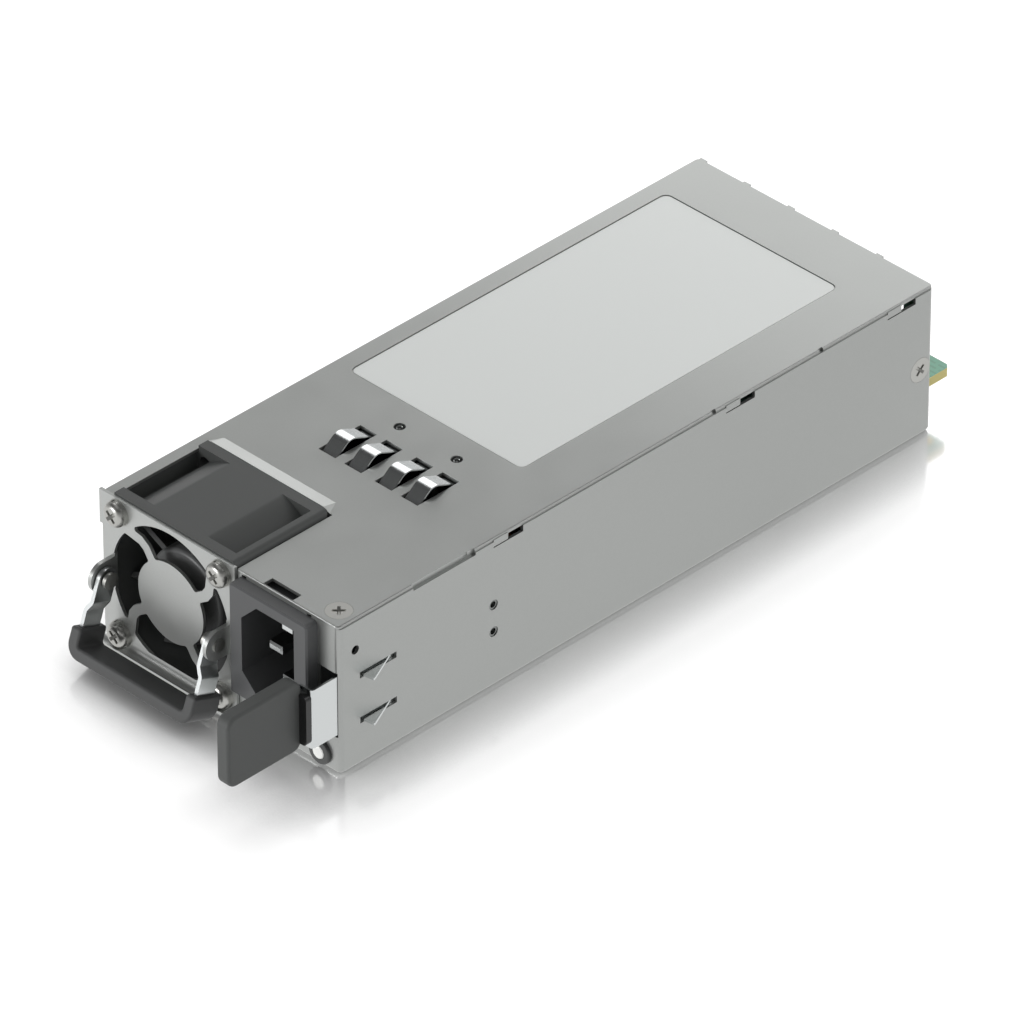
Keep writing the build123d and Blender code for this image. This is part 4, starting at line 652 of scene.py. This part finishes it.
class SUPPLY_OT_screws(bpy.types.Operator):
    """Flat head screws of the cover and the sides"""
    bl_idname = "supply.screws"
    bl_label = "Case screws"

    def execute(self, context):
        bright = plated_steel("Flat screw steel, nickel plated", context.scene.supply_fan.screw)
        dress("cover_screw", bright)
        dress("side_screws", bright)
        return {"FINISHED"}


class SUPPLY_OT_boards(bpy.types.Operator):
    """Main board, card edge board and controller board"""
    bl_idname = "supply.boards"
    bl_label = "Boards"

    def execute(self, context):
        board, fan = context.scene.supply_board, context.scene.supply_fan
        mask = solder_mask("Solder mask over glass fibre", board.mask)
        # sawn glass fibre: pale, dry and matt
        core = plain("Glass fibre, cut edge", board.core, rough=0.6)

        def cut_edge(face):
            return 0 if abs(face.normal.z) > 0.5 else 1

        def upright_edge(face):
            return 0 if abs(face.normal.x) > 0.5 else 1

        dress("main_board", mask, core, pick=cut_edge)
        dress("card_edge_board", mask, core, pick=cut_edge)
        dress("controller_board", mask, core, pick=upright_edge)
        # plated in a bath: smooth warm metal with a clear shine
        dress("card_contacts", plain("Hard gold over nickel", board.gold, rough=0.25, metal=1.0))
        # filled plastic: black and half matt
        dress("card_header", plain("Header, moulded LCP", linear("#26282A"), rough=0.5))
        # thin cast film: cream, half matt
        dress("insulator_sheet", plain("Insulating film", linear("#E9E4D2"), rough=0.5))
        steel = plated_steel("Standoff steel", fan.screw)
        dress("standoffs", steel)
        dress("board_screws", steel)
        return {"FINISHED"}


class SUPPLY_OT_power(bpy.types.Operator):
    """Chokes, capacitors, transformer, heat sinks and wires"""
    bl_idname = "supply.power"
    bl_label = "Power parts"

    def execute(self, context):
        # fired powder: dull dark grey, like slate
        ferrite = plain("Sintered ferrite", linear("#34363A"), rough=0.75)
        # enamel over bright wire: warm metal under a clear glossy coat
        copper = plain("Enamelled copper wire", linear("#B4673A"), rough=0.3, metal=0.8, coat=0.4)
        # shrunk tight over the can: smooth and nearly black
        sleeve = plain("Capacitor sleeve, shrink PVC", linear("#22252A"), rough=0.3)
        # pushed through a die: even pale metal with a broad shine
        sink = plain("Extruded aluminium", linear("#B9BDC0"), rough=0.4, metal=1.0)
        for node in ("emi_choke_core", "pfc_choke_core", "transformer_core"):
            dress(node, ferrite)
        board = context.scene.supply_board
        tree = choke_tree()
        for node, number, gap in (("emi_choke_winding", board.emi_turns, board.emi_gap),
                                  ("pfc_choke_winding", board.pfc_turns, board.pfc_gap)):
            low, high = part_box(node)
            middle = (low + high) / 2
            grown(node, tree, WIRE_EDGE, Diameter=high.x - low.x, Height=high.z - low.z, Wire=board.wire,
                  Turns=number, Gap=gap, Finish=copper, Middle=(middle.x, middle.y, low.z))
        for node in ("bulk_capacitor", "output_capacitors"):
            dress(node, sleeve)
        for node in ("heat_sink_primary", "heat_sink_secondary"):
            dress(node, sink)
        for node, name, hex_code, rough, metal in (
                # boxed in smooth plastic: ochre, half glossy
                ("film_capacitor", "Film capacitor, boxed PBT", "#D8B23A", 0.35, 0.0),
                # smooth case: black, half glossy
                ("relay", "Relay case, PBT", "#1E2226", 0.35, 0.0),
                # glaze: off white and glossy
                ("fuse", "Fuse, glazed ceramic", "#E4DFD0", 0.3, 0.0),
                # transfer moulded: black and half matt
                ("transistors", "Transistor package, epoxy", "#202224", 0.5, 0.0),
                # film tape: plain yellow, half glossy
                ("transformer_windings", "Winding tape, polyester", "#D9B92C", 0.35, 0.0),
                # dipped in tin: even bright metal
                ("bus_bars", "Tinned copper bar", "#C9CBCC", 0.3, 1.0),
                # extruded jackets: black with a soft shine
                ("inlet_leads", "Wire jacket, black PVC", "#2A2A2C", 0.4, 0.0),
                # natural nylon: milky white with a soft shine
                ("fan_plug", "Plug, white nylon", "#E6E4DC", 0.4, 0.0),
                ("fan_leads", "Fan wire, black PVC", "#2A2A2C", 0.4, 0.0)):
            dress(node, plain(name, linear(hex_code), rough, metal))
        return {"FINISHED"}


def area_lamp(name, place, target, size, power):
    """A soft box that faces a target."""
    lamp = bpy.data.lights.new(name, "AREA")
    lamp.shape = "RECTANGLE"
    lamp.size, lamp.size_y = size
    lamp.energy = power
    box = bpy.data.objects.new(name, lamp)
    bpy.context.scene.collection.objects.link(box)
    box.location = place
    box.rotation_euler = (Vector(target) - Vector(place)).to_track_quat("-Z", "Y").to_euler()
    box.visible_camera = False
    return box


def mirrored_panel(name, back, distance, size, power, roll=0.0, aside=0.0):
    """A soft box where the flat cover mirrors the camera's view, rolled, then moved down its own side."""
    ahead = Vector((-back.x, -back.y, back.z))
    panel = area_lamp(name, ahead * distance, (0, 0, 0), size, power)
    panel.rotation_euler.rotate_axis("Z", roll)
    panel.location += panel.rotation_euler.to_matrix() @ Vector((0, -aside, 0))
    return panel


def receivers(lamp, name, pieces, state="INCLUDE"):
    """Lets a lamp light only these pieces, or with the state EXCLUDE all pieces but these."""
    group = bpy.data.collections.new(name)
    for piece in pieces:
        group.objects.link(piece)
    for entry in group.collection_objects:
        entry.light_linking.link_state = state
    lamp.light_linking.receiver_collection = group


def floor_acrylic(stage, half_width, half_length):
    """White acrylic table: mirrors softly beside the case, and looks evenly bright in the metal."""
    white, grey, full = (0.9, 0.9, 0.9, 1), (0.54, 0.54, 0.54, 1), (1, 1, 1, 1)
    above_all = 9
    made, tree = new_material("Studio acrylic, white gloss")
    seen = add(tree, "ShaderNodeLightPath")
    spot = add(tree, "ShaderNodeTexCoord").outputs["Object"]

    # how far outside the case's outline, and the share that is mirrored there
    beside = add(tree, "ShaderNodeVectorMath", {0: spot}, operation="ABSOLUTE")
    outline = (half_width, half_length, above_all)
    past = add(tree, "ShaderNodeVectorMath", {0: beside.outputs[0], 1: outline}, operation="SUBTRACT")
    outside = add(tree, "ShaderNodeVectorMath", {0: past.outputs[0], 1: (0, 0, 0)}, operation="MAXIMUM")
    away = add(tree, "ShaderNodeVectorMath", {0: outside.outputs[0]}, operation="LENGTH")
    share = add(tree, "ShaderNodeMapRange", {"Value": away.outputs["Value"], "From Min": 0.0,
                                             "From Max": stage.fade, "To Min": stage.mirror, "To Max": 0.0})

    # seen by the camera: grey lifted to white, but for a dark line close to what stands on it
    matt = add(tree, "ShaderNodeBsdfDiffuse", {"Color": grey})
    open_share = add(tree, "ShaderNodeAmbientOcclusion", {"Distance": stage.contact}, samples=8)
    closer = add(tree, "ShaderNodeMath", {0: open_share.outputs["AO"], 1: 3.0}, operation="POWER")
    lit = add(tree, "ShaderNodeMath", {0: closer.outputs[0], 1: 0.62}, operation="MULTIPLY")
    lift = add(tree, "ShaderNodeEmission", {"Color": full, "Strength": lit.outputs[0]})
    lifted = add(tree, "ShaderNodeAddShader", {0: matt.outputs[0], 1: lift.outputs[0]})
    mirror = add(tree, "ShaderNodeBsdfGlossy", {"Color": full, "Roughness": 0.14})
    table = add(tree, "ShaderNodeMixShader", {0: share.outputs["Result"], 1: lifted.outputs[0],
                                              2: mirror.outputs[0]})

    # seen in metal: bright up to 0.25 m from the case, and dimmer from there to 1.6 m
    nearby = add(tree, "ShaderNodeMapRange", {"Value": away.outputs["Value"], "From Min": 0.25,
                                              "From Max": 1.6, "To Min": 1.02, "To Max": 0.3},
                 interpolation_type="SMOOTHSTEP")
    even = add(tree, "ShaderNodeEmission", {"Color": full, "Strength": nearby.outputs["Result"]})
    bright = add(tree, "ShaderNodeBsdfDiffuse", {"Color": white})
    bounce = add(tree, "ShaderNodeMixShader", {0: seen.outputs["Is Glossy Ray"], 1: bright.outputs[0],
                                               2: even.outputs[0]})
    surface = add(tree, "ShaderNodeMixShader", {0: seen.outputs["Is Camera Ray"], 1: bounce.outputs[0],
                                                2: table.outputs[0]})
    add(tree, "ShaderNodeOutputMaterial", {"Surface": surface.outputs[0]})
    return made


def studio_world():
    """Soft pale light from all sides, plain white behind the part, and the dome that metal mirrors."""
    world = bpy.data.worlds.new("Studio")
    world.use_nodes = True
    tree = world.node_tree
    tree.nodes.clear()
    seen = add(tree, "ShaderNodeLightPath")
    way = add(tree, "ShaderNodeTexCoord").outputs["Generated"]
    height = add(tree, "ShaderNodeSeparateXYZ", {0: way}).outputs["Z"]
    dome = add(tree, "ShaderNodeValToRGB", {"Fac": height})
    stops = dome.color_ramp.elements
    for place, level in DOME:
        stops.new(place).color = (level, level, level, 1)
    stops.remove(stops[0])
    stops.remove(stops[len(stops) - 1])
    soft = add(tree, "ShaderNodeMapRange", {"Value": seen.outputs["Is Glossy Ray"], "To Min": WORLD_LIGHT,
                                            "To Max": dome.outputs["Color"]})
    level = add(tree, "ShaderNodeMath", {0: soft.outputs["Result"], 1: seen.outputs["Is Camera Ray"]},
                operation="MAXIMUM")
    sky = add(tree, "ShaderNodeBackground", {"Color": (1, 1, 1, 1), "Strength": level.outputs[0]})
    add(tree, "ShaderNodeOutputWorld", {"Surface": sky.outputs[0]})
    return world


def studio_floor(stage, reach=8.0, below=0.05 * MM):
    """The table, just below the case so that the two never touch."""
    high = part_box("chassis_tray")[1]
    mesh = bpy.data.meshes.new("studio_floor")
    corners = [(-reach, -reach), (reach, -reach), (reach, reach), (-reach, reach)]
    mesh.from_pydata([(x, y, -below) for x, y in corners], [], [(0, 1, 2, 3)])
    mesh.materials.append(floor_acrylic(stage, high.x, high.y))
    floor = bpy.data.objects.new("studio_floor", mesh)
    bpy.context.scene.collection.objects.link(floor)
    return floor


def photo_camera(stage, back):
    """A long lens at the photo's angle, aimed at the middle of the case."""
    view = bpy.data.cameras.new("camera")
    view.lens, view.sensor_width = LENS, SENSOR
    view.shift_x, view.shift_y = (pixels / FRAME_WIDTH for pixels in SHIFT)
    view.clip_start, view.clip_end = 0.1, 30
    camera = bpy.data.objects.new("camera", view)
    bpy.context.scene.collection.objects.link(camera)
    camera.location = Vector((0, 0, CASE_HEIGHT / 2)) + back * stage.distance
    camera.rotation_mode = "QUATERNION"
    camera.rotation_quaternion = (-back).to_track_quat("-Z", "Y")
    return camera


class SUPPLY_OT_stage(bpy.types.Operator):
    """Pale floor, soft lamps and the camera"""
    bl_idname = "supply.stage"
    bl_label = "Stage"

    def execute(self, context):
        scene, stage = context.scene, context.scene.supply_stage
        floor = studio_floor(stage)
        scene.world = studio_world()
        for name, power, place, target, size in LAMPS:
            area_lamp(name, place, target, size, getattr(stage, power))

        # from the case back to the camera
        back = Vector((math.sin(stage.turn) * math.cos(stage.height),
                       -math.cos(stage.turn) * math.cos(stage.height), math.sin(stage.height)))
        fingers = [bpy.data.objects[f"{node}_finished"] for node in FINGERS]
        rear = mirrored_panel("rear_panel", back, distance=0.4, size=(0.9, 0.32), power=stage.rear_power,
                              roll=math.radians(-29.7), aside=0.15)
        receivers(rear, "dark to the rear panel", fingers, state="EXCLUDE")
        crest = mirrored_panel("crest_panel", back, distance=0.4, size=(0.24, 0.24),
                               power=stage.crest_power)
        receivers(crest, "lit by the crest panel", fingers)
        under = mirrored_panel("floor_panel", back, distance=1.5, size=(1.8, 1.8),
                               power=stage.floor_power)
        receivers(under, "lit by the floor panel", [floor])

        scene.camera = photo_camera(stage, back)
        scene.view_settings.view_transform = "Standard"
        return {"FINISHED"}


OPERATORS = (SUPPLY_OT_case, SUPPLY_OT_fan, SUPPLY_OT_guard, SUPPLY_OT_handle, SUPPLY_OT_inlet,
             SUPPLY_OT_latch, SUPPLY_OT_fingers, SUPPLY_OT_screws, SUPPLY_OT_boards, SUPPLY_OT_power,
             SUPPLY_OT_stage)
SETTINGS = {"supply_sheet": SheetSettings, "supply_fan": FanSettings, "supply_spring": SpringSettings,
            "supply_front": FrontSettings, "supply_board": BoardSettings, "supply_stage": StageSettings}


class SUPPLY_PT_panel(bpy.types.Panel):
    """Lists the supply's settings and pieces"""
    bl_label = "Server Power Supply"
    bl_idname = "SUPPLY_PT_panel"
    bl_space_type = "VIEW_3D"
    bl_region_type = "UI"
    bl_category = "Supply"

    def draw(self, context):
        layout = self.layout
        for name, group in SETTINGS.items():
            box = layout.box()
            box.label(text=group.__doc__)
            for setting in group.__annotations__:
                box.prop(getattr(context.scene, name), setting)
        for operator in OPERATORS:
            layout.operator(operator.bl_idname)


def register():
    for made in (*SETTINGS.values(), *OPERATORS, SUPPLY_PT_panel):
        bpy.utils.register_class(made)
    for name, group in SETTINGS.items():
        setattr(bpy.types.Scene, name, PointerProperty(type=group))


def unregister():
    for name in SETTINGS:
        delattr(bpy.types.Scene, name)
    for made in (SUPPLY_PT_panel, *reversed(OPERATORS), *reversed(tuple(SETTINGS.values()))):
        bpy.utils.unregister_class(made)


def main():
    register()
    for operator in OPERATORS:
        family, name = operator.bl_idname.split(".")
        getattr(getattr(bpy.ops, family), name)()


if __name__ == "__main__":
    main()
